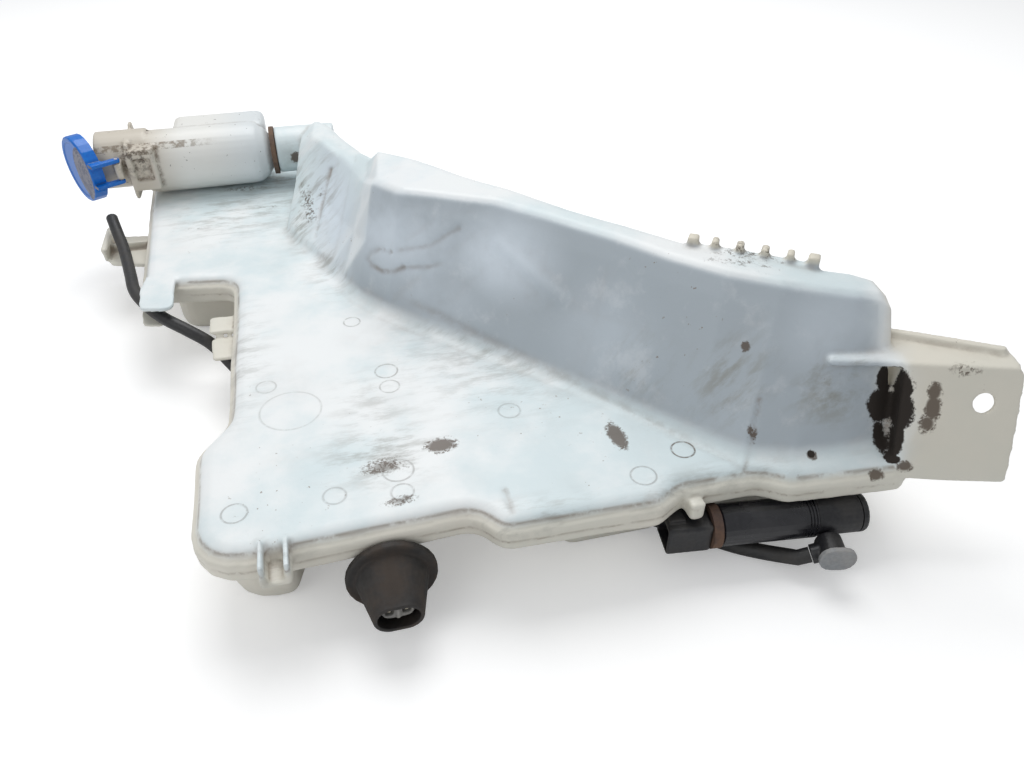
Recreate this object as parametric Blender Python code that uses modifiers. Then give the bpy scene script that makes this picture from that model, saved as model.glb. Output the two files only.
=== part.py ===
"""A washer fluid reservoir for a car: a blow-moulded tank with its pipe, cap, pump, sensor and hose.

X runs along the tank's front edge, Y to the back and Z up. The origin lies on the flat underside.
Sizes are in metres.
"""

import math

import bmesh
import bpy
from mathutils import Matrix, Vector

# Clearances between neighbouring pieces
GAP = 0.0003
SLACK = 0.0006
FACE_GAP = 0.00006

# Tank shell heights
WALL = 0.003
RIM_BOTTOM = 0.040
RIM_TOP = 0.054
PLATE_TOP = 0.060
RIM_FLANGE = 0.006
SHOULDER = 0.0085
PARTING_BEAD = 0.0006
BELLY_ROUND = 0.012

# Outline corners, counter-clockwise from the front left: x, y and the corner's radius
RIM_CORNERS = [
    (-0.151, -0.152, 0.027),
    (-0.009, -0.1475, 0.014),
    (0.003, -0.164, 0.012),
    (0.088, -0.167, 0.010),
    (0.104, -0.158, 0.012),
    (0.148, -0.160, 0.014),
    (0.162, -0.1695, 0.012),
    (0.234, -0.176, 0.010),
    (0.248, -0.106, 0.014),
    (0.212, -0.062, 0.030),
    (0.152, -0.020, 0.040),
    (0.012, 0.162, 0.060),
    (-0.020, 0.300, 0.050),
    (-0.036, 0.345, 0.022),
    (-0.212, 0.345, 0.020),
    (-0.201, 0.134, 0.009),
    (-0.134, 0.123, 0.013),
    (-0.135, -0.042, 0.014),
    (-0.152, -0.066, 0.020),
]
BELLY_CORNERS = [
    (-0.142, -0.136, 0.024),
    (-0.105, -0.136, 0.008),
    (-0.097, -0.110, 0.008),
    (0.030, -0.110, 0.010),
    (0.046, -0.140, 0.010),
    (0.220, -0.141, 0.012),
    (0.232, -0.102, 0.012),
    (0.140, -0.030, 0.040),
    (-0.004, 0.160, 0.050),
    (-0.050, 0.322, 0.022),
    (-0.190, 0.324, 0.022),
    (-0.184, 0.152, 0.014),
    (-0.117, 0.142, 0.014),
    (-0.118, -0.048, 0.014),
    (-0.140, -0.074, 0.016),
]

# Stations along the raised wall: foot, front top edge, back top edge, back base and top height
HILL_FOOT = 0.010
HILL_STATIONS = [
    ((-0.094, 0.186), (-0.073, 0.268), (-0.067, 0.306), (-0.064, 0.322), 0.103),
    ((-0.088, 0.164), (-0.063, 0.256), (-0.055, 0.298), (-0.044, 0.322), 0.112),
    ((-0.077, 0.142), (-0.053, 0.235), (-0.045, 0.276), (-0.030, 0.298), 0.113),
    ((-0.070, 0.124), (-0.043, 0.212), (-0.035, 0.246), (-0.020, 0.264), 0.111),
    ((-0.065, 0.106), (-0.035, 0.180), (-0.025, 0.212), (-0.010, 0.230), 0.113),
    ((-0.060, 0.088), (-0.030, 0.135), (-0.018, 0.175), (-0.002, 0.192), 0.122),
    ((-0.052, 0.068), (-0.027, 0.092), (-0.013, 0.146), (0.003, 0.160), 0.139),
    ((-0.035, 0.043), (-0.012, 0.064), (0.008, 0.118), (0.022, 0.130), 0.142),
    ((-0.013, 0.017), (0.014, 0.050), (0.032, 0.085), (0.044, 0.098), 0.142),
    ((0.012, -0.008), (0.045, 0.032), (0.060, 0.054), (0.072, 0.066), 0.142),
    ((0.042, -0.040), (0.076, 0.002), (0.090, 0.016), (0.100, 0.028), 0.141),
    ((0.070, -0.072), (0.104, -0.030), (0.118, -0.014), (0.128, -0.004), 0.141),
    ((0.098, -0.105), (0.128, -0.062), (0.143, -0.043), (0.153, -0.033), 0.141),
    ((0.120, -0.131), (0.150, -0.086), (0.168, -0.062), (0.178, -0.052), 0.141),
    ((0.140, -0.153), (0.174, -0.103), (0.190, -0.079), (0.199, -0.068), 0.141),
    ((0.165, -0.163), (0.194, -0.113), (0.207, -0.090), (0.216, -0.080), 0.140),
    ((0.194, -0.166), (0.210, -0.120), (0.221, -0.096), (0.230, -0.087), 0.139),
    ((0.216, -0.166), (0.224, -0.123), (0.231, -0.103), (0.237, -0.096), 0.137),
    ((0.227, -0.164), (0.231, -0.124), (0.236, -0.110), (0.240, -0.104), 0.131),
]

# Filler: the spout on the tank, the pipe pushed onto it and its mouth
PIPE_Y = 0.297
PIPE_Z = 0.088
SPOUT_END_X = -0.094
SPOUT_RADIUS = 0.0195
SPOUT_BORE = 0.0165
SPOUT_DEPTH = 0.052
SEAL_LIP = 0.004
PIPE_WALL = 0.0025
PIPE_NECK_RADIUS = 0.0135
PIPE_RADIUS = 0.0262
PIPE_NECK_LENGTH = 0.018
PIPE_TAPER = 0.014
PIPE_BODY_END_X = -0.207
COLLAR_Y = 0.299
COLLAR_Z = 0.092
MOUTH_X = -0.2405
CHAMBER_X = (-0.180, -0.1015)
CHAMBER_Y = 0.338
CHAMBER_BOTTOM = 0.064
CHAMBER_TOP = 0.113
FLANGE_X = -0.214
FLANGE_THICKNESS = 0.003

# Cap: closed over the mouth, its hinge beside the collar, and how far it stands open
CAP_RADIUS = 0.0275
CAP_DEPTH = 0.0105
CAP_TOP = 0.002
CAP_SKIRT = 0.0014
CAP_CLEARANCE = 0.0023
COLLAR_RADIUS = CAP_RADIUS - CAP_SKIRT - CAP_CLEARANCE
GASKET_THICKNESS = 0.0015
HINGE_BACK = 0.0180
HINGE_OFFSET = 0.0295
HINGE_Z = 0.093
HINGE_PIN_RADIUS = 0.0014
HINGE_ARM_SPACING = 0.018
HINGE_ARM_WIDTH = 0.0032
HINGE_ARM_BITE = 0.0052
CAP_OPEN = math.radians(31.0)

# Pump, along its own axis from the connector's mouth
PUMP_AT = Vector((0.095, -0.159, 0.0265))
PUMP_TURN = math.radians(-6.9)
PUMP_RADIUS = 0.0120
CONNECTOR_LENGTH = 0.0255
CONNECTOR_WIDTH = 0.0200
CONNECTOR_HEIGHT = 0.0190
CONNECTOR_SOCKET = 0.014
RING_LENGTH = 0.0052
RING_INNER = 0.0065
MOTOR_LENGTH = 0.0547
MOTOR_RIBS = 3
MOTOR_RIB_PITCH = 0.0018
REAR_WALL = 0.0020
HEAD_LENGTH = 0.0257
BACK_WALL = 0.0065
COVER_THICKNESS = 0.0038
PUMP_WALL = 0.0014
RING_AT = CONNECTOR_LENGTH + GAP
MOTOR_AT = RING_AT + RING_LENGTH + GAP
HEAD_AT = MOTOR_AT + MOTOR_LENGTH + GAP
COVER_AT = HEAD_AT + HEAD_LENGTH + GAP
SHAFT_RADIUS = 0.0010
BUSH_RADIUS = 0.0030
BUSH_LENGTH = 0.0028
SHAFT_SEAL_LENGTH = 0.0026
ARMATURE_RADIUS = 0.0072
MAGNET_INNER = 0.0078
MAGNET_AT = 0.011
MAGNET_LENGTH = 0.032
CHAMBER_RADIUS = 0.0080
IMPELLER_RADIUS = 0.0068
IMPELLER_LENGTH = 0.0062
VANES = 6
INLET_RADIUS = 0.0065
INLET_AT = 0.0167
SPIGOT_BEYOND = 0.0068
SEAL_NECK_RADIUS = 0.0090
STRAINER_LENGTH = 0.016
PUMP_EDGE = 4
OUTLET_RADIUS = 0.0038
OUTLET_WALL = 0.0014
OUTLET_AT = 0.0075
OUTLET_DROP = 0.0065
OUTLET_REACH = 0.0128
OUTLET_DIRECTION = Vector((-0.26, -1.0, 0.0)).normalized()

# Level sensor with its rubber boot and float
SENSOR_X = -0.055
SENSOR_Z = 0.0262
SENSOR_RADIUS = 0.0115
SENSOR_EDGE = 2
SENSOR_SEAL = 0.0067
BOOT_FLANGE_RADIUS = 0.0245
BOOT_FLANGE_Y = -0.1502
BOOT_SLEEVE_WALL = 0.0017
BOOT_FLANGE_THICKNESS = 0.0045
BOOT_MOUTH_Y = -0.181
BOOT_MOUTH_WIDTH = 0.0260
BOOT_MOUTH_HEIGHT = 0.0185
BOOT_WALL = 0.0022
BOOT_SHOULDER_RADIUS = 0.0195
EAR_WIDTH = 0.0070
EAR_INNER = 0.0040
EAR_OUTER = 0.0060
FLOAT_PIVOT = 0.015
FLOAT_PIN_RADIUS = 0.0010
FLOAT_ARM = 0.034
FLOAT_RADIUS = 0.0105
FLOAT_HEIGHT = 0.018

# Hose, its groove under the tank and the elbow that it ends in
HOSE_RADIUS = 0.0045
GROOVE_ENDS = ((-0.140, 0.0585), (0.130, -0.1535))
GROOVE_WIDTH = 0.0125
GROOVE_TOP = 0.0125
ELBOW_RADIUS = 0.0075
ELBOW_LENGTH = 0.0135
ELBOW_STUB = 0.0110
STUB_DIRECTION = Vector((-0.88, 0.25, -0.40)).normalized()
ELBOW_CAP_WIDTH = 0.0200
ELBOW_CAP_HEIGHT = 0.0160
ELBOW_CAP_THICKNESS = 0.0030
ELBOW_CAP_SHIFT = (0.0005, 0.0022)
HOSE_ROUTE = [
    (-0.2320, 0.2380, 0.0660),
    (-0.2262, 0.2175, 0.0610),
    (-0.2205, 0.1977, 0.0560),
    (-0.2125, 0.1610, 0.0530),
    (-0.2075, 0.1380, 0.0522),
    (-0.1985, 0.1180, 0.0512),
    (-0.1850, 0.0995, 0.0485),
    (-0.1680, 0.0875, 0.0420),
    (-0.1538, 0.0800, 0.0330),
    (-0.1410, 0.0670, 0.0210),
    (-0.1290, 0.0520, 0.0108),
    (-0.1150, 0.0390, 0.0064),
    (-0.0950, 0.0232, 0.0062),
    (0.0000, -0.0514, 0.0062),
    (0.0850, -0.1182, 0.0062),
    (0.1020, -0.1315, 0.0058),
    (0.1190, -0.1445, 0.0052),
    (0.1380, -0.1608, 0.0052),
    (0.1526, -0.1722, 0.0072),
]
CLIP_THICKNESS = 0.0028

# Bracket on the right
BRACKET_FOOT = Vector((0.224, -0.174, 0.050))
BRACKET_TURN = math.radians(-18.0)
BRACKET_LEAN = math.radians(23.0)
BRACKET_LENGTH = 0.060
BRACKET_HEIGHT = 0.0655
BRACKET_THICKNESS = 0.0035
BRACKET_HOLE = 0.0055
BRACKET_HOLE_EDGE = 0.0190
BRACKET_HOLE_DROP = 0.0205

# Toothed rack behind the raised wall
COMB_START = Vector((0.1425, -0.0476, 0.0))
COMB_END = Vector((0.2035, -0.0902, 0.0))
COMB_STATION = 13
COMB_TEETH = 6
COMB_TOOTH_RISE = 0.0055

SCENE = bpy.context.scene


def clear_scene():
    for thing in list(bpy.data.objects):
        bpy.data.objects.remove(thing, do_unlink=True)


def collection(name):
    made = bpy.data.collections.new(name)
    SCENE.collection.children.link(made)
    return made


def paint(name, colour, roughness, metallic=0.0):
    made = bpy.data.materials.new(name)
    made.use_nodes = True
    shader = made.node_tree.nodes["Principled BSDF"]
    shader.inputs["Base Color"].default_value = (*colour, 1.0)
    shader.inputs["Roughness"].default_value = roughness
    shader.inputs["Metallic"].default_value = metallic
    made.diffuse_color = (*colour, 1.0)
    return made


def as_object(name, bm, group, material=None):
    """The bmesh as a named object, its faces turned outwards and its sharp edges kept."""
    bmesh.ops.recalc_face_normals(bm, faces=bm.faces)
    mesh = bpy.data.meshes.new(name)
    bm.to_mesh(mesh)
    bm.free()
    mesh.shade_smooth()
    mesh.set_sharp_from_angle(angle=math.radians(35.0))
    made = bpy.data.objects.new(name, mesh)
    group.objects.link(made)
    if material:
        mesh.materials.append(material)
    else:
        made.hide_render = True
        made.display_type = "WIRE"
    return made


def boolean(target, tool, operation):
    modifier = target.modifiers.new(tool.name, "BOOLEAN")
    modifier.object = tool
    modifier.operation = operation
    modifier.solver = "EXACT"


def fused(pieces):
    """The first piece, joined by the others."""
    for piece in pieces[1:]:
        boolean(pieces[0], piece, "UNION")
    return pieces[0]


def outline(corners, inset=0.0):
    """Points round a closed outline of rounded corners, moved inwards by the inset."""
    points = []
    count = len(corners)
    for index, (x, y, radius) in enumerate(corners):
        here = Vector((x, y))
        before = Vector(corners[index - 1][:2])
        after = Vector(corners[(index + 1) % count][:2])
        arrive = (here - before).normalized()
        leave = (after - here).normalized()
        turn = math.atan2(arrive.cross(leave), arrive.dot(leave))
        left = Vector((-arrive.y, arrive.x))
        corner = here + inset * (left + math.tan(turn / 2.0) * arrive * -1.0)
        side = math.copysign(1.0, turn)
        bend = max(radius - side * inset, 0.0005)
        reach = bend * math.tan(abs(turn) / 2.0)
        start = corner - arrive * reach
        centre = start + left * side * bend
        steps = max(2, math.ceil(abs(turn) / math.radians(24.0)))
        for step in range(steps + 1):
            angle = turn * step / steps
            arm = start - centre
            spun = Vector(
                (
                    arm.x * math.cos(angle) - arm.y * math.sin(angle),
                    arm.x * math.sin(angle) + arm.y * math.cos(angle),
                )
            )
            points.append(centre + spun)
    return points


def loft(name, rings, group, material=None):
    """A closed body through rings of equally many points, with flat ends."""
    bm = bmesh.new()
    rows = [[bm.verts.new(point) for point in ring] for ring in rings]
    for lower, upper in zip(rows, rows[1:]):
        for index in range(len(lower)):
            after = (index + 1) % len(lower)
            bm.faces.new((lower[index], lower[after], upper[after]))
            bm.faces.new((lower[index], upper[after], upper[index]))
    ends = [bm.faces.new(list(reversed(rows[0]))), bm.faces.new(rows[-1])]
    bm.normal_update()
    bmesh.ops.triangulate(bm, faces=ends)
    return as_object(name, bm, group, material)


def stack(name, corners, levels, group, material=None):
    """Slices of one outline at (height, inset) levels, lofted into a body."""
    rings = [[(p.x, p.y, z) for p in outline(corners, inset)] for z, inset in levels]
    return loft(name, rings, group, material)


def frame(at, along, up=(0.0, 0.0, 1.0)):
    """A placing matrix whose local Z points along a direction."""
    z = Vector(along).normalized()
    x = Vector(up).cross(z)
    if x.length < 1e-6:
        x = Vector((1.0, 0.0, 0.0))
    x.normalize()
    turned_frame = Matrix((x, z.cross(x), z)).transposed().to_4x4()
    return Matrix.Translation(at) @ turned_frame


def turned(name, profile, place, group, material=None, sides=28):
    """A turned body: (radius, height) pairs down its outer side, spun about local Z."""
    mesh = bpy.data.meshes.new(name)
    points = [(radius, 0.0, height) for radius, height in profile]
    edges = [(index, index + 1) for index in range(len(points) - 1)]
    if profile[0][0] > 0.0:
        edges.append((len(points) - 1, 0))
    mesh.from_pydata(points, edges, [])
    made = bpy.data.objects.new(name, mesh)
    group.objects.link(made)
    made.matrix_world = place
    screw = made.modifiers.new("Turn", "SCREW")
    screw.steps = sides
    screw.render_steps = sides
    screw.use_merge_vertices = True
    screw.merge_threshold = 0.00001
    screw.use_smooth_shade = True
    if material:
        mesh.materials.append(material)
    else:
        made.hide_render = True
        made.display_type = "WIRE"
    return made


def rod(name, radius, length, place, group, material=None, sides=20):
    """A cylinder from the local origin along local Z."""
    bm = bmesh.new()
    bmesh.ops.create_cone(bm, cap_ends=True, segments=sides, radius1=radius, radius2=radius, depth=length)
    bmesh.ops.translate(bm, verts=bm.verts, vec=(0.0, 0.0, length / 2.0))
    made = as_object(name, bm, group, material)
    made.matrix_world = place
    return made


def block(name, low, high, place, group, material=None, bevel=0.0):
    """A box between two local corners, its edges bevelled where asked."""
    low, high = Vector(low), Vector(high)
    bm = bmesh.new()
    bmesh.ops.create_cube(bm, size=1.0)
    bmesh.ops.scale(bm, verts=bm.verts, vec=high - low)
    bmesh.ops.translate(bm, verts=bm.verts, vec=(high + low) / 2.0)
    if bevel:
        bmesh.ops.bevel(bm, geom=bm.edges, offset=bevel, segments=2, affect="EDGES", profile=0.5)
    made = as_object(name, bm, group, material)
    made.matrix_world = place
    return made


def plate(name, corners, low, high, place, group, material=None):
    """A flat outline of rounded corners, from one height to another."""
    curve = bpy.data.curves.new(name, "CURVE")
    curve.dimensions = "2D"
    curve.fill_mode = "BOTH"
    curve.extrude = (high - low) / 2.0
    points = outline(corners)
    spline = curve.splines.new("POLY")
    spline.points.add(len(points) - 1)
    for target, point in zip(spline.points, points):
        target.co = (point.x, point.y, 0.0, 1.0)
    spline.use_cyclic_u = True
    guide = bpy.data.objects.new(name + "_guide", curve)
    SCENE.collection.objects.link(guide)
    bpy.context.view_layer.update()
    graph = bpy.context.evaluated_depsgraph_get()
    flat = bpy.data.meshes.new_from_object(guide.evaluated_get(graph))
    bpy.data.objects.remove(guide)
    bm = bmesh.new()
    bm.from_mesh(flat)
    bpy.data.meshes.remove(flat)
    bmesh.ops.remove_doubles(bm, verts=bm.verts, dist=0.00001)
    bmesh.ops.translate(bm, verts=bm.verts, vec=(0.0, 0.0, (high + low) / 2.0))
    made = as_object(name, bm, group, material)
    made.matrix_world = place
    return made


def shell_levels():
    parting = (RIM_BOTTOM + RIM_TOP) / 2.0
    rise = PLATE_TOP - RIM_TOP
    return [
        (RIM_BOTTOM, 0.0015),
        (RIM_BOTTOM + 0.0015, 0.0),
        (parting - 0.0008, 0.0),
        (parting, -PARTING_BEAD),
        (parting + 0.0008, 0.0),
        (RIM_TOP - 0.0012, 0.0),
        (RIM_TOP, 0.0018),
        (RIM_TOP + 0.45 * rise, SHOULDER * 0.42),
        (RIM_TOP + 0.83 * rise, SHOULDER * 0.66),
        (PLATE_TOP, SHOULDER * 1.15),
    ]


def belly_levels(inset=0.0):
    """The belly's slices, or with an inset those of the hollow inside it."""
    if inset:
        return [
            (inset, inset + BELLY_ROUND),
            (inset + BELLY_ROUND * 0.3, inset + BELLY_ROUND * 0.28),
            (inset + BELLY_ROUND, inset),
            (RIM_BOTTOM + inset + 0.004, inset),
        ]
    return [
        (0.0, BELLY_ROUND),
        (BELLY_ROUND * 0.13, BELLY_ROUND * 0.5),
        (BELLY_ROUND * 0.45, BELLY_ROUND * 0.15),
        (BELLY_ROUND, 0.0),
        (RIM_BOTTOM + 0.003, 0.0),
    ]


def square_to(before, after, towards):
    """Square to a line in plan, on the side of a point."""
    along = Vector(after) - Vector(before)
    side = Vector((-along.y, along.x)).normalized()
    return side if side.dot(Vector(towards) - Vector(before)) > 0.0 else -side


def hill_ring(station, shifts=None):
    """One section of the raised wall, front foot to back base, or of the hollow inside it."""
    foot, top, back, base, height = station
    foot, top, back, base = Vector(foot), Vector(top), Vector(back), Vector(base)
    forward = (foot - top).normalized()
    rearward = (base - back).normalized()
    wall = foot - forward * HILL_FOOT
    rise = height - PLATE_TOP
    if shifts:
        wall, top = wall + shifts[0], top + shifts[0]
        back, base = back + shifts[1], base + shifts[1]
    slope = top - wall
    drop = base - back

    def at(point, z):
        return (point.x, point.y, z)

    upper = [
        at(wall + slope * 0.5, PLATE_TOP + rise * 0.5),
        at(wall + slope * 0.86, height - rise * 0.15),
        at(wall + slope * 1.0, height - rise * 0.035),
        at(top - forward * 0.006, height),
        at(back - rearward * 0.005, height),
        at(back + rearward * 0.001, height - rise * 0.035),
        at(back + drop * 0.15, height - rise * 0.14),
        at(back + drop * 0.6, PLATE_TOP + rise * 0.35),
    ]
    if shifts:
        low = PLATE_TOP - 2.0 * WALL
        return [at(wall, low), at(wall, PLATE_TOP + 0.002)] + upper + [at(base, low)]
    buried = RIM_TOP - 0.004
    return [
        at(foot, buried),
        at(foot, PLATE_TOP - 0.0002),
        at(foot - forward * HILL_FOOT * 0.55, PLATE_TOP + 0.0016),
        at(wall - forward * 0.0010, PLATE_TOP + 0.0062),
    ] + upper + [at(base, buried)]


def hill_rings(inset=0.0):
    """The raised wall's sections, or those of its hollow, moved in square to its two long sides."""
    if not inset:
        return [hill_ring(station) for station in HILL_STATIONS]
    rings = []
    for before, station, after in zip(HILL_STATIONS, HILL_STATIONS[1:], HILL_STATIONS[2:]):
        front_in = square_to(before[1], after[1], station[2]) * inset * 1.2
        back_in = square_to(before[2], after[2], station[1]) * inset * 1.4
        roof = min(before[4], station[4], after[4]) - inset
        rings.append(hill_ring(station[:4] + (roof,), (front_in, back_in)))
    return rings


def add_spout(tank, cutters):
    length = SPOUT_DEPTH
    place = frame((SPOUT_END_X, PIPE_Y, PIPE_Z), (1.0, 0.0, 0.0))
    spout = rod("spout", SPOUT_RADIUS, length, place, cutters, sides=30)
    boolean(tank, spout, "UNION")
    start = frame((SPOUT_END_X - 0.001, PIPE_Y, PIPE_Z), (1.0, 0.0, 0.0))
    return rod("spout_bore", SPOUT_BORE, length - 0.004, start, cutters, sides=30)


def bracket_place():
    """Local X along the bracket, local Y up its leaning face, local Z out of the face."""
    along = Vector((math.cos(BRACKET_TURN), math.sin(BRACKET_TURN), 0.0))
    behind = Vector((-along.y, along.x, 0.0))
    upward = behind * math.sin(BRACKET_LEAN) + Vector((0.0, 0.0, 1.0)) * math.cos(BRACKET_LEAN)
    outward = along.cross(upward)
    turned_frame = Matrix((along, upward, outward)).transposed().to_4x4()
    return Matrix.Translation(BRACKET_FOOT) @ turned_frame


def add_bracket(tank, cutters):
    place = bracket_place()
    flat = Matrix.Identity(4)
    top_left = place @ Vector((-0.003, BRACKET_HEIGHT, 0.0))
    top_right = place @ Vector((BRACKET_LENGTH, BRACKET_HEIGHT, 0.0))
    top = top_left.z
    face = plate(
        "bracket_face",
        [
            (-0.003, 0.0, 0.001),
            (BRACKET_LENGTH, 0.0, 0.003),
            (BRACKET_LENGTH, BRACKET_HEIGHT, 0.006),
            (-0.003, BRACKET_HEIGHT, 0.001),
        ],
        -BRACKET_THICKNESS,
        0.0,
        place,
        cutters,
    )
    web = block(
        "bracket_web",
        (-0.0024, 0.0006, -0.030),
        (0.0008, BRACKET_HEIGHT - 0.002, -0.001),
        place,
        cutters,
    )
    ledge = plate(
        "bracket_ledge",
        [
            (0.190, -0.1365, 0.002),
            (top_left.x, top_left.y + 0.0005, 0.010),
            (top_right.x - 0.001, top_right.y + 0.0008, 0.004),
            (top_right.x + 0.003, top_right.y + 0.0165, 0.005),
            (0.232, -0.117, 0.004),
            (0.200, -0.118, 0.002),
        ],
        top - BRACKET_THICKNESS,
        top,
        flat,
        cutters,
    )
    rib = plate(
        "bracket_rib",
        [
            (top_right.x - 0.004, top_right.y + 0.0135, 0.001),
            (top_right.x + 0.001, top_right.y + 0.0165, 0.001),
            (0.234, -0.118, 0.001),
            (0.234, -0.123, 0.001),
        ],
        top - 0.001,
        top + 0.003,
        flat,
        cutters,
    )
    boolean(tank, fused([face, web, ledge, rib]), "UNION")
    across, up = BRACKET_LENGTH - BRACKET_HOLE_EDGE, BRACKET_HEIGHT - BRACKET_HOLE_DROP
    hole_at = place @ Vector((across, up, -0.010))
    outward = place.to_3x3() @ Vector((0.0, 0.0, 1.0))
    return rod("bracket_hole", BRACKET_HOLE, 0.020, frame(hole_at, outward), cutters, sides=24)


def add_comb(tank, cutters):
    """The toothed rack along the back of the raised wall."""
    along = COMB_END - COMB_START
    length = along.length
    place = Matrix.Translation(COMB_START) @ Matrix.Rotation(math.atan2(along.y, along.x), 4, "Z")
    height = HILL_STATIONS[COMB_STATION][4]
    low = (0.0007, -0.0030, height - 0.022)
    comb = [block("comb_band", low, (length - 0.0007, 0.0022, height + 0.0008), place, cutters)]
    for index in range(COMB_TEETH):
        wide = 0.0065 if index in (0, COMB_TEETH - 1) else 0.0038
        at = (length - wide) * index / (COMB_TEETH - 1)
        tooth = block(
            f"comb_tooth_{index + 1}",
            (at, -0.0026, height - 0.014),
            (at + wide, 0.0052, height + COMB_TOOTH_RISE),
            place,
            cutters,
            bevel=0.0008,
        )
        comb.append(tooth)
    boolean(tank, fused(comb), "UNION")


def add_clips(tank, cutters):
    """Three open clips on the left edge that hold the hose."""
    flat = Matrix.Identity(4)
    seat = RIM_BOTTOM + CLIP_THICKNESS
    over = PLATE_TOP - 0.0002
    first = [
        (-0.1980, 0.2460, 0.002),
        (-0.2400, 0.2530, 0.006),
        (-0.2360, 0.2040, 0.006),
        (-0.1980, 0.1920, 0.002),
    ]
    under = [
        (-0.1860, 0.1365, 0.001),
        (-0.2020, 0.1385, 0.001),
        (-0.2035, 0.1200, 0.004),
        (-0.2010, 0.1037, 0.004),
        (-0.1863, 0.1000, 0.003),
    ]
    upper = [
        (-0.1765, 0.1400, 0.001),
        (-0.1980, 0.1425, 0.001),
        (-0.2008, 0.1234, 0.004),
        (-0.1982, 0.0965, 0.006),
        (-0.1748, 0.0915, 0.006),
    ]
    third = [
        (-0.1305, 0.0710, 0.001),
        (-0.1305, 0.0915, 0.001),
        (-0.1530, 0.0930, 0.003),
        (-0.1530, 0.0725, 0.003),
    ]
    fourth = [
        (-0.1305, 0.0440, 0.001),
        (-0.1305, 0.0700, 0.001),
        (-0.1520, 0.0715, 0.003),
        (-0.1500, 0.0450, 0.003),
    ]
    webs = [
        ("clip_1_web", first, seat),
        ("clip_2_under", under, seat - 0.0006),
        ("clip_2_over", upper, over),
        ("clip_3_over", third, seat + 0.0052),
        ("clip_3_under", fourth, seat + 0.0009),
    ]
    for name, corners, top in webs:
        boolean(tank, plate(name, corners, top - CLIP_THICKNESS, top, flat, cutters), "UNION")
    hooks = [
        ("clip_1_hook", (-0.2402, 0.2080, seat - 0.001), (-0.2368, 0.2480, seat + 0.011)),
        ("clip_1_rib", (-0.2370, 0.2245, seat - 0.001), (-0.1990, 0.2272, seat + 0.006)),
    ]
    for name, low_corner, high_corner in hooks:
        boolean(tank, block(name, low_corner, high_corner, flat, cutters, bevel=0.0007), "UNION")


def add_lugs(tank, cutters):
    """The ribbed lug at the front left and the short hook above the pump's connector."""
    flat = Matrix.Identity(4)
    shelf = block("lug_shelf", (-0.1175, -0.1640, 0.0480), (-0.1030, -0.1440, 0.0508), flat, cutters)
    left = block("lug_left", (-0.1177, -0.1643, 0.0477), (-0.1146, -0.1437, 0.0632), flat, cutters)
    right = block("lug_right", (-0.1058, -0.1637, 0.0483), (-0.1027, -0.1434, 0.0612), flat, cutters)
    boolean(tank, fused([shelf, left, right]), "UNION")
    hook_low, hook_high = (0.1065, -0.1665, 0.0388), (0.1145, -0.1530, 0.0500)
    hook = block("pump_hook", hook_low, hook_high, flat, cutters, bevel=0.0007)
    boolean(tank, hook, "UNION")


def front_wall(edge, x):
    """Y of the belly's outer face on the front edge that starts at this corner."""
    x1, y1, _ = BELLY_CORNERS[edge]
    x2, y2, _ = BELLY_CORNERS[edge + 1]
    return y1 + (y2 - y1) * (x - x1) / (x2 - x1)


def build_tank(parts, cutters):
    tank = stack("tank", RIM_CORNERS, shell_levels(), parts, paint("tank", (0.80, 0.83, 0.83), 0.42))
    belly = stack("belly", BELLY_CORNERS, belly_levels(), cutters)
    boolean(tank, belly, "UNION")
    hill = loft("hill", hill_rings(), cutters)
    boolean(tank, hill, "UNION")
    spout_bore = add_spout(tank, cutters)
    bracket_hole = add_bracket(tank, cutters)
    add_comb(tank, cutters)
    add_clips(tank, cutters)
    add_lugs(tank, cutters)

    ceiling = PLATE_TOP - WALL
    hollow_levels = [
        (RIM_BOTTOM + WALL, RIM_FLANGE),
        (ceiling - 0.004, RIM_FLANGE + 0.002),
        (ceiling, RIM_FLANGE + SHOULDER),
    ]
    upper_hollow = stack("upper_hollow", RIM_CORNERS, hollow_levels, cutters)
    lower_hollow = stack("lower_hollow", BELLY_CORNERS, belly_levels(WALL), cutters)
    hill_hollow = loft("hill_hollow", hill_rings(WALL), cutters)
    groove = groove_block("groove", 0.0, cutters)
    fat_groove = groove_block("groove_wall", WALL, cutters)
    boolean(lower_hollow, fat_groove, "DIFFERENCE")
    inlet_hole = rod("inlet_hole", SEAL_NECK_RADIUS + GAP, 4.0 * WALL, inlet_place(-WALL), cutters)
    inwards = sensor_place(-2.5 * WALL)
    sensor_hole = rod("sensor_hole", SENSOR_RADIUS + SLACK, 4.0 * WALL, inwards, cutters)
    holes = (spout_bore, bracket_hole, inlet_hole, sensor_hole)
    for cutter in (groove, upper_hollow, lower_hollow, hill_hollow) + holes:
        boolean(tank, cutter, "DIFFERENCE")


def groove_block(name, grow, cutters):
    start, end = Vector(GROOVE_ENDS[0]), Vector(GROOVE_ENDS[1])
    along = end - start
    turn = Matrix.Rotation(math.atan2(along.y, along.x), 4, "Z")
    place = Matrix.Translation((start.x, start.y, 0.0)) @ turn
    half = GROOVE_WIDTH / 2.0 + grow
    high = (along.length, half, GROOVE_TOP + grow)
    return block(name, (0.0, -half, -0.010), high, place, cutters)


def carried(name, place, pieces):
    """An empty on a joint's axis that carries these pieces."""
    axis = bpy.data.objects.new(name, None)
    SCENE.collection.objects.link(axis)
    axis.matrix_world = place
    for piece in pieces:
        piece.parent = axis
        piece.matrix_parent_inverse = place.inverted()


def pipe_place(x, y=PIPE_Y, z=PIPE_Z):
    """Local Z runs out along the pipe, local X to the front and local Y up."""
    return frame((x, y, z), (-1.0, 0.0, 0.0))


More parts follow.
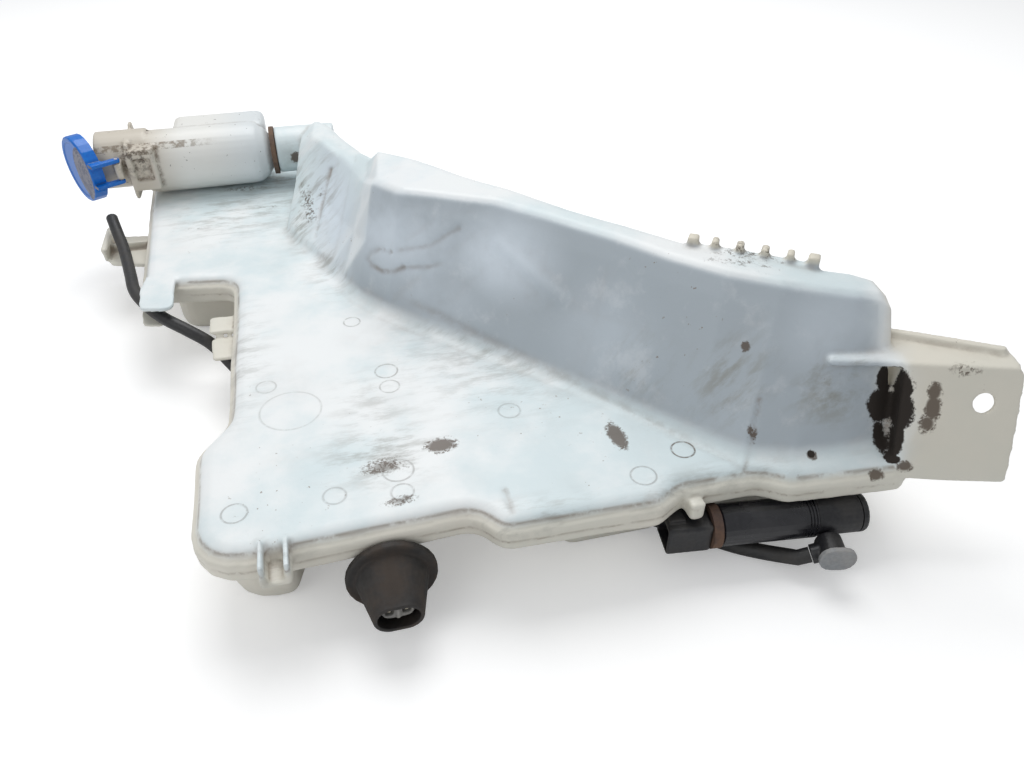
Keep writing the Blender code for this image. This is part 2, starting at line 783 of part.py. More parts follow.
def pipe_profile(inset):
    """The pipe's half section from its closed end down to the neck, or that of the hollow inside it."""
    neck = SPOUT_END_X + PIPE_NECK_LENGTH
    shoulder = neck - SPOUT_END_X + SEAL_LIP + 2.0 * GAP
    end = neck - PIPE_BODY_END_X
    full = PIPE_RADIUS - inset
    outer = [
        (full * 0.86, end - inset),
        (full * 0.96, end - 0.003 - inset),
        (full, end - 0.009),
        (full, shoulder + PIPE_TAPER + 0.002 + inset),
        (full * 0.95, shoulder + PIPE_TAPER * 0.78 + inset),
        (full * 0.78, shoulder + PIPE_TAPER * 0.32 + inset),
        (PIPE_NECK_RADIUS + 0.002 - inset, shoulder + 0.001 + inset),
        (PIPE_NECK_RADIUS - inset, shoulder + inset),
        (PIPE_NECK_RADIUS - inset, -0.001 if inset else 0.0),
    ]
    return [(0.0, outer[0][1])] + outer + [(0.0, outer[-1][1])]


def hinge_place(turn=0.0):
    """On the cap's hinge axis, turned open about it."""
    at = Vector((MOUTH_X + HINGE_BACK, COLLAR_Y - HINGE_OFFSET, HINGE_Z))
    return Matrix.Translation(at) @ Matrix.Rotation(turn, 4, "Z")


def build_filler(parts, cutters):
    """The pipe with its side chamber, flange and collar, and the rubber ring that seals it in the spout."""
    neck_x = SPOUT_END_X + PIPE_NECK_LENGTH
    flat = Matrix.Identity(4)
    white = paint("filler_pipe", (0.78, 0.77, 0.71), 0.40)
    pipe = turned("filler_pipe", pipe_profile(0.0), pipe_place(neck_x), parts, white, sides=32)
    chamber_low = (CHAMBER_X[0], PIPE_Y + 0.003, CHAMBER_BOTTOM)
    chamber_high = (CHAMBER_X[1], CHAMBER_Y, CHAMBER_TOP)
    chamber = block("pipe_chamber", chamber_low, chamber_high, flat, cutters, bevel=0.006)
    root = PIPE_BODY_END_X + 0.007
    collar_at = pipe_place(root, COLLAR_Y, COLLAR_Z)
    collar = rod("pipe_collar", COLLAR_RADIUS, root - MOUTH_X, collar_at, cutters, sides=32)
    flange_corners = [
        (-0.322, 0.0655, 0.006),
        (-0.268, 0.0655, 0.006),
        (-0.268, 0.1040, 0.005),
        (-0.275, 0.1125, 0.003),
        (-0.311, 0.1110, 0.002),
        (-0.316, 0.1165, 0.001),
        (-0.323, 0.1155, 0.001),
        (-0.327, 0.1040, 0.006),
    ]
    flange_at = pipe_place(FLANGE_X + FLANGE_THICKNESS / 2.0, 0.0, 0.0)
    flange = plate("pipe_flange", flange_corners, 0.0, FLANGE_THICKNESS, flange_at, cutters)
    frame_low, frame_high = (-0.2130, 0.2675, 0.0740), (-0.1925, 0.2805, 0.1095)
    window_low, window_high = (-0.2102, 0.2600, 0.0825), (-0.1960, 0.2706, 0.1020)
    window_frame = block("pipe_frame", frame_low, frame_high, flat, cutters, bevel=0.001)
    window = block("pipe_window", window_low, window_high, flat, cutters)
    lug_half = HINGE_ARM_SPACING / 2.0 - HINGE_ARM_WIDTH / 2.0 - GAP
    lug_low = (-0.0030, -0.0030, -lug_half)
    lug_high = (0.0030, HINGE_OFFSET - COLLAR_RADIUS + 0.0035, lug_half)
    lug = block("hinge_lug", lug_low, lug_high, hinge_place(), cutters, bevel=0.0008)
    for piece in (chamber, collar, flange, window_frame, lug):
        boolean(pipe, piece, "UNION")
    hollow = turned("pipe_hollow", pipe_profile(PIPE_WALL), pipe_place(neck_x), cutters, sides=32)
    low = [value + PIPE_WALL for value in chamber_low]
    high = [value - PIPE_WALL for value in chamber_high]
    chamber_hollow = block("chamber_hollow", low, high, flat, cutters, bevel=0.004)
    bore = rod(
        "collar_bore",
        COLLAR_RADIUS - PIPE_WALL,
        root - MOUTH_X + 0.006,
        pipe_place(root + 0.004, COLLAR_Y, COLLAR_Z),
        cutters,
        sides=32,
    )
    below = hinge_place() @ Matrix.Translation((0, 0, -HINGE_ARM_SPACING))
    pin_hole = rod("lug_pin_hole", HINGE_PIN_RADIUS + GAP, 2.0 * HINGE_ARM_SPACING, below, cutters, sides=16)
    boolean(pipe, fused([hollow, chamber_hollow, bore, window, pin_hole]), "DIFFERENCE")
    lip = GAP + SEAL_LIP
    seal_profile = [
        (SPOUT_RADIUS + 0.001, lip),
        (SPOUT_RADIUS + 0.001, GAP),
        (SPOUT_BORE - GAP, GAP),
        (SPOUT_BORE - GAP, -0.014),
        (PIPE_NECK_RADIUS + GAP, -0.014),
        (PIPE_NECK_RADIUS + GAP, lip),
    ]
    brown = paint("filler_pipe_seal", (0.16, 0.12, 0.09), 0.80)
    turned("filler_pipe_seal", seal_profile, pipe_place(SPOUT_END_X), parts, brown, sides=30)


def build_cap(parts, cutters):
    """The hinged cap, its gasket and the pin, drawn closed and then swung open."""
    swing = hinge_place(CAP_OPEN)
    unswung = hinge_place().inverted()
    mouth = swing @ unswung @ pipe_place(MOUTH_X, COLLAR_Y, COLLAR_Z)
    ceiling = 2.0 * GAP + GASKET_THICKNESS
    outer = ceiling + CAP_TOP
    foot = outer - CAP_DEPTH
    inner_radius = CAP_RADIUS - CAP_SKIRT
    blue = paint("filler_cap", (0.02, 0.15, 0.55), 0.35)
    cap_profile = [
        (0.0, outer),
        (CAP_RADIUS - 0.0045, outer),
        (CAP_RADIUS - 0.0040, outer + 0.0006),
        (CAP_RADIUS - 0.0010, outer + 0.0006),
        (CAP_RADIUS, outer - 0.0004),
        (CAP_RADIUS, foot),
        (inner_radius, foot),
        (inner_radius, ceiling),
        (0.0, ceiling),
    ]
    cap = turned("filler_cap", cap_profile, mouth, parts, blue, sides=24)
    back = -HINGE_BACK - outer
    knuckle = HINGE_PIN_RADIUS + 0.0013
    onto_cap = HINGE_OFFSET - CAP_RADIUS + HINGE_ARM_BITE
    arm_corners = [
        (back + 0.0006, -knuckle, 0.0010),
        (knuckle, -knuckle, knuckle - 0.0001),
        (knuckle, knuckle, knuckle - 0.0001),
        (back + CAP_DEPTH + 0.0012, knuckle, 0.0010),
        (back + CAP_DEPTH, onto_cap, 0.0005),
        (back + 0.0006, onto_cap, 0.0010),
    ]
    half = HINGE_ARM_WIDTH / 2.0
    for side, centre in (("upper", HINGE_ARM_SPACING / 2.0), ("lower", -HINGE_ARM_SPACING / 2.0)):
        arm = plate(f"cap_arm_{side}", arm_corners, centre - half, centre + half, swing, cutters)
        boolean(cap, arm, "UNION")
    clear_from = mouth @ Matrix.Translation((0, 0, ceiling - FACE_GAP - CAP_DEPTH))
    inside = rod("cap_inside", inner_radius - FACE_GAP, CAP_DEPTH, clear_from, cutters, sides=24)
    below = swing @ Matrix.Translation((0, 0, -HINGE_ARM_SPACING))
    pin_hole = rod("cap_pin_hole", HINGE_PIN_RADIUS + GAP, 2.0 * HINGE_ARM_SPACING, below, cutters, sides=16)
    boolean(cap, inside, "DIFFERENCE")
    boolean(cap, pin_hole, "DIFFERENCE")
    gasket_profile = [
        (inner_radius - GAP, GAP + GASKET_THICKNESS),
        (inner_radius - GAP, GAP),
        (COLLAR_RADIUS - PIPE_WALL - 0.002, GAP),
        (COLLAR_RADIUS - PIPE_WALL - 0.002, GAP + GASKET_THICKNESS),
    ]
    rubber = paint("cap_gasket", (0.05, 0.05, 0.05), 0.8)
    gasket = turned("cap_gasket", gasket_profile, mouth, parts, rubber, sides=30)
    reach = HINGE_ARM_SPACING / 2.0 + half
    pin_at = hinge_place() @ Matrix.Translation((0, 0, -reach))
    pale = paint("hinge_pin", (0.7, 0.68, 0.6), 0.5)
    rod("hinge_pin", HINGE_PIN_RADIUS, 2.0 * reach, pin_at, parts, pale, sides=16)
    carried("cap_hinge_axis", swing, [cap, gasket])


def pump_place(along=0.0):
    """On the pump's axis; local Z runs to its head, local X to the tank and local Y up."""
    axis = Vector((math.cos(PUMP_TURN), math.sin(PUMP_TURN), 0.0))
    return frame(PUMP_AT + axis * along, axis)


def inlet_place(beyond=0.0):
    """On the inlet's axis, at the tank's outer face or beyond it; local Z runs into the tank."""
    on_axis = pump_place(HEAD_AT + INLET_AT).translation
    wall = front_wall(PUMP_EDGE, on_axis.x)
    return frame((on_axis.x, wall + beyond, on_axis.z), (0.0, 1.0, 0.0))


def build_pump_motor(parts, cutters):
    """Connector, mounting ring and motor can, with the magnets and bush that stand still in it."""
    black = paint("pump_connector", (0.012, 0.012, 0.014), 0.45)
    start = pump_place()
    half_wide, half_high = CONNECTOR_WIDTH / 2.0, CONNECTOR_HEIGHT / 2.0
    shell = block(
        "pump_connector",
        (-half_wide, -half_high, 0.0),
        (half_wide, half_high, CONNECTOR_LENGTH),
        start,
        parts,
        black,
        bevel=0.0016,
    )
    boss_radius = RING_INNER - GAP
    boss = rod("connector_boss", boss_radius, RING_LENGTH + 0.004, pump_place(RING_AT - 0.004), cutters)
    latch_low, latch_high = (-0.004, half_high - 0.001, 0.002), (0.004, half_high + 0.0018, 0.011)
    latch = block("connector_latch", latch_low, latch_high, start, cutters)
    boolean(shell, boss, "UNION")
    boolean(shell, latch, "UNION")
    wall = 0.0018
    low = (-half_wide + wall, -half_high + wall, -0.002)
    high = (half_wide - wall, half_high - wall, CONNECTOR_SOCKET)
    boolean(shell, block("connector_socket", low, high, start, cutters), "DIFFERENCE")
    metal = paint("pump_terminals", (0.75, 0.72, 0.62), 0.3, 1.0)
    for number, offset in ((1, -0.0040), (2, 0.0040)):
        blade_low = (offset - 0.0004, -0.0015, 0.004)
        blade_high = (offset + 0.0004, 0.0015, CONNECTOR_SOCKET - GAP)
        block(f"pump_terminal_{number}", blade_low, blade_high, start, parts, metal)

    rust = paint("pump_ring", (0.09, 0.06, 0.05), 0.85)
    ring_profile = [
        (PUMP_RADIUS + 0.0006, RING_LENGTH),
        (PUMP_RADIUS + 0.0006, 0.0),
        (RING_INNER, 0.0),
        (RING_INNER, RING_LENGTH),
    ]
    turned("pump_ring", ring_profile, pump_place(RING_AT), parts, rust, sides=24)

    inner = PUMP_RADIUS - PUMP_WALL
    case_profile = [
        (0.0, REAR_WALL),
        (BUSH_RADIUS + GAP, REAR_WALL),
        (BUSH_RADIUS + GAP, REAR_WALL + BUSH_LENGTH),
        (BUSH_RADIUS + 0.002, REAR_WALL + BUSH_LENGTH),
        (BUSH_RADIUS + 0.002, REAR_WALL),
        (inner, REAR_WALL),
        (inner, MOTOR_LENGTH),
    ]
    for index in range(MOTOR_RIBS):
        top = MOTOR_LENGTH - index * MOTOR_RIB_PITCH
        groove = PUMP_RADIUS - PUMP_WALL / 2.0
        foot = top - MOTOR_RIB_PITCH / 2.0
        case_profile += [(PUMP_RADIUS, top), (PUMP_RADIUS, foot)]
        case_profile += [(groove, foot), (groove, top - MOTOR_RIB_PITCH)]
    last = MOTOR_LENGTH - MOTOR_RIBS * MOTOR_RIB_PITCH
    case_profile += [(PUMP_RADIUS, last), (PUMP_RADIUS, 0.001), (PUMP_RADIUS - 0.001, 0.0), (0.0, 0.0)]
    can = paint("pump_motor_case", (0.012, 0.012, 0.016), 0.30)
    turned("pump_motor_case", case_profile, pump_place(MOTOR_AT), parts, can, sides=24)

    steel = paint("motor_magnets", (0.10, 0.10, 0.11), 0.5, 0.6)
    magnet_profile = [
        (inner - GAP, MAGNET_LENGTH),
        (inner - GAP, 0.0),
        (MAGNET_INNER, 0.0),
        (MAGNET_INNER, MAGNET_LENGTH),
    ]
    turned("motor_magnets", magnet_profile, pump_place(MOTOR_AT + MAGNET_AT), parts, steel, sides=24)
    bush_at = pump_place(MOTOR_AT + REAR_WALL + GAP)
    brass = paint("rear_bush", (0.6, 0.45, 0.2), 0.4, 1.0)
    turned("rear_bush", bush_profile(), bush_at, parts, brass, sides=20)


def bush_profile():
    length = BUSH_LENGTH - GAP
    bore = SHAFT_RADIUS + GAP
    return [(BUSH_RADIUS, length), (BUSH_RADIUS, 0.0), (bore, 0.0), (bore, length)]


def build_pump_rotor(parts, cutters):
    """Shaft, armature with its commutator, and the vaned impeller, all turning together."""
    start = MOTOR_AT + REAR_WALL + GAP
    end = HEAD_AT + BACK_WALL + IMPELLER_LENGTH
    bright = paint("pump_shaft", (0.7, 0.7, 0.7), 0.2, 1.0)
    shaft = rod("pump_shaft", SHAFT_RADIUS, end - start, pump_place(start), parts, bright, sides=20)
    bore = SHAFT_RADIUS + GAP
    length = MAGNET_LENGTH - 0.004
    commutator = -0.006
    armature_profile = [
        (ARMATURE_RADIUS, length),
        (ARMATURE_RADIUS, 0.0),
        (ARMATURE_RADIUS * 0.5, 0.0),
        (ARMATURE_RADIUS * 0.5, commutator),
        (bore, commutator),
        (bore, length),
    ]
    at = pump_place(MOTOR_AT + MAGNET_AT + 0.002)
    copper = paint("motor_armature", (0.45, 0.22, 0.10), 0.45, 0.8)
    armature = turned("motor_armature", armature_profile, at, parts, copper, sides=24)

    floor = HEAD_AT + BACK_WALL + GAP
    web = 0.0012
    hub = IMPELLER_RADIUS * 0.38
    disc_profile = [
        (0.0, IMPELLER_LENGTH + 0.001),
        (hub, IMPELLER_LENGTH + 0.001),
        (hub, web),
        (IMPELLER_RADIUS, web),
        (IMPELLER_RADIUS, 0.0),
        (0.0, 0.0),
    ]
    grey = paint("pump_impeller", (0.55, 0.55, 0.52), 0.5)
    impeller = turned("pump_impeller", disc_profile, pump_place(floor), parts, grey, sides=24)
    for index in range(VANES):
        turn = Matrix.Rotation(2.0 * math.pi * index / VANES + 0.11, 4, "Z")
        low = (hub * 0.6, -0.0004, web * 0.5)
        high = (IMPELLER_RADIUS - 0.0003, 0.0004, IMPELLER_LENGTH - 0.0008)
        vane = block(f"vane_{index + 1}", low, high, pump_place(floor) @ turn, cutters)
        boolean(impeller, vane, "UNION")
    drill = rod("impeller_bore", bore, IMPELLER_LENGTH + 0.001, pump_place(floor - 0.001), cutters, sides=20)
    boolean(impeller, drill, "DIFFERENCE")
    carried("rotor_axis", pump_place(start), [shaft, armature, impeller])


def build_pump_head(parts, cutters):
    """The pump chamber with its inlet into the tank, its outlet to the hose and its cover."""
    black = paint("pump_head", (0.012, 0.012, 0.014), 0.40)
    head_radius = PUMP_RADIUS - 0.0005
    head = rod("pump_head", head_radius, HEAD_LENGTH, pump_place(HEAD_AT), parts, black, sides=24)
    inlet = inlet_place()
    outer_y = inlet.translation.y
    axis_y = pump_place(HEAD_AT + INLET_AT).translation.y
    stem = outer_y - axis_y
    spigot_at = inlet @ Matrix.Translation((0, 0, -stem))
    spigot = rod("inlet_spigot", INLET_RADIUS, stem + WALL + SPIGOT_BEYOND, spigot_at, cutters, sides=24)
    outlet = rod("outlet_spigot", OUTLET_RADIUS, OUTLET_REACH, outlet_place(), cutters, sides=20)
    boolean(head, spigot, "UNION")
    boolean(head, outlet, "UNION")
    chamber_at = pump_place(HEAD_AT + BACK_WALL)
    chamber = rod("pump_chamber", CHAMBER_RADIUS, HEAD_LENGTH, chamber_at, cutters, sides=24)
    pocket = BUSH_RADIUS + GAP
    behind = pump_place(HEAD_AT - 0.001)
    bush_pocket = rod("bush_pocket", pocket, BUSH_LENGTH + 0.0011, behind, cutters)
    seal_from = HEAD_AT + BACK_WALL - SHAFT_SEAL_LENGTH
    seal_pocket = rod("seal_pocket", pocket, SHAFT_SEAL_LENGTH + 0.001, pump_place(seal_from), cutters)
    shaft_hole = rod("shaft_hole", SHAFT_RADIUS + GAP, BACK_WALL + 0.002, behind, cutters, sides=20)
    inlet_bore = rod("inlet_bore", INLET_RADIUS - 0.0025, stem + 0.020, spigot_at, cutters, sides=24)
    way = OUTLET_RADIUS - OUTLET_WALL
    outlet_bore = rod("outlet_bore", way, OUTLET_REACH + 0.002, outlet_place(), cutters, sides=20)
    for cutter in (chamber, bush_pocket, seal_pocket, shaft_hole, inlet_bore, outlet_bore):
        boolean(head, cutter, "DIFFERENCE")

    brass = paint("front_bush", (0.6, 0.45, 0.2), 0.4, 1.0)
    turned("front_bush", bush_profile(), pump_place(HEAD_AT + GAP), parts, brass, sides=20)
    seal_profile = [
        (BUSH_RADIUS, SHAFT_SEAL_LENGTH - GAP),
        (BUSH_RADIUS, 0.0),
        (SHAFT_RADIUS + GAP, 0.0),
        (SHAFT_RADIUS + GAP, SHAFT_SEAL_LENGTH - GAP),
    ]
    rubber = paint("shaft_seal", (0.03, 0.03, 0.03), 0.8)
    turned("shaft_seal", seal_profile, pump_place(seal_from + GAP), parts, rubber, sides=20)
    plug = CHAMBER_RADIUS - GAP
    cover_profile = [
        (0.0, COVER_THICKNESS),
        (head_radius - 0.0018, COVER_THICKNESS),
        (head_radius - 0.0005, COVER_THICKNESS - 0.0005),
        (head_radius, COVER_THICKNESS - 0.0018),
        (head_radius, 0.0),
        (plug, 0.0),
        (plug, -0.002),
        (0.0, -0.002),
    ]
    turned("pump_head_cover", cover_profile, pump_place(COVER_AT), parts, black, sides=24)

    inner_lip = WALL + GAP + 0.0025
    grommet_profile = [
        (SEAL_NECK_RADIUS + 0.0015, inner_lip),
        (SEAL_NECK_RADIUS + 0.0015, WALL + GAP),
        (SEAL_NECK_RADIUS, WALL + GAP),
        (SEAL_NECK_RADIUS, -GAP),
        (SEAL_NECK_RADIUS + 0.003, -GAP),
        (SEAL_NECK_RADIUS + 0.003, -GAP - 0.004),
        (INLET_RADIUS + GAP, -GAP - 0.004),
        (INLET_RADIUS + GAP, inner_lip),
    ]
    soft = paint("pump_seal", (0.04, 0.035, 0.03), 0.8)
    turned("pump_seal", grommet_profile, inlet, parts, soft, sides=32)
    build_strainer(inlet @ Matrix.Translation((0, 0, inner_lip + GAP)), parts, cutters)


def build_strainer(place, parts, cutters):
    """The slotted cup over the inlet's end inside the tank."""
    inner = INLET_RADIUS + GAP
    wall = 0.0012
    profile = [
        (0.0, STRAINER_LENGTH),
        (inner + wall, STRAINER_LENGTH),
        (inner + wall, 0.0),
        (inner, 0.0),
        (inner, STRAINER_LENGTH - wall),
        (0.0, STRAINER_LENGTH - wall),
    ]
    white = paint("inlet_strainer", (0.8, 0.8, 0.76), 0.5)
    strainer = turned("inlet_strainer", profile, place, parts, white, sides=32)
    reach = inner + 2.0 * wall
    for index in range(4):
        turn = Matrix.Rotation(math.radians(45.0 * index + 11.0), 4, "Z")
        low = (-reach, -0.0011, SPIGOT_BEYOND)
        high = (reach, 0.0011, STRAINER_LENGTH - 2.0 * wall)
        slot = block(f"strainer_slot_{index + 1}", low, high, place @ turn, cutters)
        boolean(strainer, slot, "DIFFERENCE")


def sensor_place(outward=0.0):
    """On the sensor's axis, at the tank's outer face or before it; local Z runs out, local Y up."""
    return frame((SENSOR_X, front_wall(SENSOR_EDGE, SENSOR_X) - outward, SENSOR_Z), (0.0, -1.0, 0.0))


def oval_ring(distance, radius, spread, count=28):
    """A circle pulled apart sideways into an oval with straight sides."""
    ring = []
    for index in range(count):
        angle = 2.0 * math.pi * (index + 0.5) / count
        shift = math.copysign(spread, math.cos(angle))
        ring.append((radius * math.cos(angle) + shift, radius * math.sin(angle), distance))
    return ring


def build_sensor(parts, cutters):
    """The level sensor's body, plug face, seal and boot."""
    wall = front_wall(SENSOR_EDGE, SENSOR_X)
    place = sensor_place()
    bore = SENSOR_RADIUS + GAP
    black = paint("sensor_seal", (0.03, 0.03, 0.03), 0.8)
    sleeve = bore + BOOT_SLEEVE_WALL
    seal_profile = [(sleeve, SENSOR_SEAL), (sleeve, GAP), (bore, GAP), (bore, SENSOR_SEAL)]
    turned("sensor_seal", seal_profile, place, parts, black, sides=32)

    mouth = wall - BOOT_MOUTH_Y
    flange = wall - BOOT_FLANGE_Y
    cup = flange + BOOT_FLANGE_THICKNESS
    mouth_radius = BOOT_MOUTH_HEIGHT / 2.0
    spread = (BOOT_MOUTH_WIDTH - BOOT_MOUTH_HEIGHT) / 2.0
    rings = [
        oval_ring(SENSOR_SEAL + GAP, sleeve, 0.0),
        oval_ring(flange - 0.0002, sleeve, 0.0),
        oval_ring(flange, BOOT_FLANGE_RADIUS - 0.0007, 0.0),
        oval_ring(flange + 0.0007, BOOT_FLANGE_RADIUS, 0.0),
        oval_ring(cup - 0.0007, BOOT_FLANGE_RADIUS, 0.0),
        oval_ring(cup, BOOT_FLANGE_RADIUS - 0.0007, 0.0),
        oval_ring(cup + 0.0002, BOOT_SHOULDER_RADIUS, 0.0),
        oval_ring(cup + 0.4 * (mouth - cup), BOOT_SHOULDER_RADIUS * 0.80, spread * 0.35),
        oval_ring(mouth - 0.0015, mouth_radius + 0.0003, spread),
        oval_ring(mouth, mouth_radius, spread),
    ]
    rubber = paint("sensor_boot", (0.05, 0.042, 0.036), 0.75)
    boot = loft("sensor_boot", [seated(ring, place) for ring in rings], parts, rubber)
    inside = [
        oval_ring(cup + 0.003, BOOT_SHOULDER_RADIUS - 0.0035, 0.0),
        oval_ring(mouth, mouth_radius - BOOT_WALL, spread),
        oval_ring(mouth + 0.001, mouth_radius - BOOT_WALL, spread),
    ]
    hollow = loft("boot_hollow", [seated(ring, place) for ring in inside], cutters)
    sleeve_bore = rod("boot_bore", bore, cup + 0.006, place, cutters, sides=30)
    boolean(boot, hollow, "DIFFERENCE")
    boolean(boot, sleeve_bore, "DIFFERENCE")

    grey = paint("sensor_body", (0.16, 0.155, 0.145), 0.6)
    body_end = cup + 0.0115
    inner_end = sensor_place(-2.0 * WALL)
    body = rod("sensor_body", SENSOR_RADIUS, body_end + 2.0 * WALL, inner_end, parts, grey, sides=32)
    plug_end = body_end + 0.010
    plug_corners = [(-0.0085, -0.00475), (0.0085, -0.00475), (0.0085, 0.00475), (-0.0085, 0.00475)]
    rounded = [(x, y, 0.0046) for x, y in plug_corners]
    plug = plate("sensor_plug", rounded, body_end - 0.002, plug_end, place, cutters)
    rib_low, rib_high = (-0.0009, -0.0043, plug_end - 0.001), (0.0009, 0.0043, plug_end + 0.0012)
    rib = block("plug_rib", rib_low, rib_high, place, cutters)
    for piece in (plug, rib):
        boolean(body, piece, "UNION")
    half = EAR_WIDTH / 2.0
    tip, root = -FLOAT_PIVOT - half - 0.0006, -2.0 * WALL + 0.001
    ears = (("ear_upper", EAR_INNER, EAR_OUTER), ("ear_lower", -EAR_OUTER, -EAR_INNER))
    for name, low, high in ears:
        ear = block(name, (-half, low, tip), (half, high, root), place, cutters)
        boolean(body, ear, "UNION")
    metal = paint("sensor_terminals", (0.75, 0.72, 0.62), 0.3, 1.0)
    pocket_floor = plug_end - 0.006
    for number, offset in ((1, -0.0045), (2, 0.0045)):
        low = (offset - 0.0023, -0.0026, pocket_floor)
        high = (offset + 0.0023, 0.0026, plug_end + 0.002)
        boolean(body, block(f"plug_pocket_{number}", low, high, place, cutters), "DIFFERENCE")
        pin_at = place @ Matrix.Translation((offset, 0.0, pocket_floor + GAP))
        rod(f"sensor_terminal_{number}", 0.0008, 0.0047, pin_at, parts, metal, sides=12)
    pivot = place @ Matrix.Translation((0.0, 0.0, -FLOAT_PIVOT))
    upward = frame(pivot.translation, (0.0, 0.0, 1.0), up=(0.0, -1.0, 0.0))
    pin_base = upward @ Matrix.Translation((0, 0, -EAR_OUTER - 0.0002))
    below = upward @ Matrix.Translation((0, 0, -2.0 * EAR_OUTER))
    hole = rod("ear_hole", FLOAT_PIN_RADIUS + GAP, 4.0 * EAR_OUTER, below, cutters, sides=16)
    boolean(body, hole, "DIFFERENCE")
    rod("float_pin", FLOAT_PIN_RADIUS, 2.0 * EAR_OUTER + 0.0004, pin_base, parts, metal, sides=16)
    build_float(pivot.translation, parts, cutters)


def build_float(pivot, parts, cutters):
    """The arm and float that swing about the pin."""
    place = Matrix.Translation(pivot)
    yellow = paint("sensor_float", (0.75, 0.6, 0.2), 0.6)
    half = EAR_INNER - 2.0 * GAP
    wide = 0.0034
    low, high = (-wide, -wide, -half), (wide, FLOAT_ARM, half)
    arm = block("sensor_float", low, high, place, parts, yellow, bevel=0.001)
    lower = Matrix.Translation(pivot + Vector((0.0, FLOAT_ARM, -FLOAT_HEIGHT / 2.0)))
    boolean(arm, rod("float_drum", FLOAT_RADIUS, FLOAT_HEIGHT, lower, cutters, sides=24), "UNION")
    below = place @ Matrix.Translation((0, 0, -2.0 * half))
    hole = rod("float_hole", FLOAT_PIN_RADIUS + GAP, 4.0 * half, below, cutters, sides=16)
    boolean(arm, hole, "DIFFERENCE")
    carried("float_axis", place, [arm])


def seated(ring, place):
    return [place @ Vector(point) for point in ring]


def outlet_place(beyond=0.0):
    """On the outlet's axis below the pump's; local Z runs out to the front, local Y up."""
    start = pump_place(HEAD_AT + OUTLET_AT).translation - Vector((0.0, 0.0, OUTLET_DROP))
    return frame(start + OUTLET_DIRECTION * beyond, OUTLET_DIRECTION)


def elbow_centre():
    return outlet_place(OUTLET_REACH + GAP + ELBOW_LENGTH / 2.0).translation


def build_elbow(parts, cutters):
    """The elbow that turns the outlet down into the hose, and its oval cap."""
    black = paint("hose_elbow", (0.015, 0.015, 0.017), 0.4)
    centre = elbow_centre()
    back = outlet_place(OUTLET_REACH + GAP)
    body = rod("hose_elbow", ELBOW_RADIUS, ELBOW_LENGTH, back, parts, black, sides=24)
    leaving = frame(centre, STUB_DIRECTION)
    stub = rod("elbow_stub", HOSE_RADIUS + 0.0010, ELBOW_STUB, leaving, cutters, sides=24)
    boolean(body, stub, "UNION")
    way = OUTLET_RADIUS - OUTLET_WALL
    way_in = rod("elbow_way_in", way, ELBOW_LENGTH / 2.0 + 0.002, outlet_place(OUTLET_REACH), cutters)
    way_out = rod("elbow_way_out", way, ELBOW_STUB + 0.001, leaving, cutters)
    boolean(body, way_in, "DIFFERENCE")
    boolean(body, way_out, "DIFFERENCE")
    wide, high = ELBOW_CAP_WIDTH / 2.0, ELBOW_CAP_HEIGHT / 2.0
    bend = high - 0.0005
    cap_corners = [
        (-wide, -high, bend),
        (wide, -high, bend),
        (wide, high, bend),
        (-wide, high, bend),
    ]
    front = back @ Matrix.Translation((*ELBOW_CAP_SHIFT, ELBOW_LENGTH + GAP))
    grey = paint("elbow_cap", (0.19, 0.20, 0.21), 0.5)
    plate("elbow_cap", cap_corners, 0.0, ELBOW_CAP_THICKNESS, front, parts, grey)


def smooth_route(points, spacing):
    """Points spaced evenly along a smooth curve through the route's own points."""
    padded = [points[0] * 2.0 - points[1]] + points + [points[-1] * 2.0 - points[-2]]
    fine = []
    for index in range(1, len(padded) - 2):
        before, start, end, after = padded[index - 1 : index + 3]
        for step in range(24):
            t = step / 24.0
            fine.append(
                0.5
                * (
                    2.0 * start
                    + (end - before) * t
                    + (2.0 * before - 5.0 * start + 4.0 * end - after) * t * t
                    + (3.0 * start - before - 3.0 * end + after) * t * t * t
                )
            )
    fine.append(points[-1])
    total = sum((b - a).length for a, b in zip(fine, fine[1:]))
    count = max(2, round(total / spacing))
    route, walked, wanted = [fine[0]], 0.0, total / count
    for a, b in zip(fine, fine[1:]):
        length = (b - a).length
        while walked + length >= wanted - 1e-9 and len(route) < count:
            route.append(a.lerp(b, (wanted - walked) / length))
            wanted += total / count
        walked += length
    route.append(fine[-1])
    return route


def build_hose(parts):
    end = elbow_centre() + STUB_DIRECTION * (ELBOW_STUB + GAP)
    points = [Vector(point) for point in HOSE_ROUTE]
    lead = end + STUB_DIRECTION * HOSE_RADIUS * 1.6
    curve = bpy.data.curves.new("hose", "CURVE")
    curve.dimensions = "3D"
    curve.bevel_depth = HOSE_RADIUS
    curve.bevel_resolution = 2
    curve.use_fill_caps = True
    route = smooth_route(points + [lead], 2.6 * HOSE_RADIUS) + [end]
    spline = curve.splines.new("POLY")
    spline.points.add(len(route) - 1)
    for target, point in zip(spline.points, route):
        target.co = (*point, 1.0)
    hose = bpy.data.objects.new("hose", curve)
    parts.objects.link(hose)
    curve.materials.append(paint("hose", (0.022, 0.022, 0.024), 0.6))


def main():
    clear_scene()
    parts = collection("washer_fluid_reservoir")
    cutters = collection("cutters")
    build_tank(parts, cutters)
    build_filler(parts, cutters)
    build_cap(parts, cutters)
    build_pump_motor(parts, cutters)
    build_pump_rotor(parts, cutters)
    build_pump_head(parts, cutters)
    build_sensor(parts, cutters)
    build_elbow(parts, cutters)
    build_hose(parts)


if __name__ == "__main__":
    main()
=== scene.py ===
import math

import bpy
import numpy as np
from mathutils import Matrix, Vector, noise


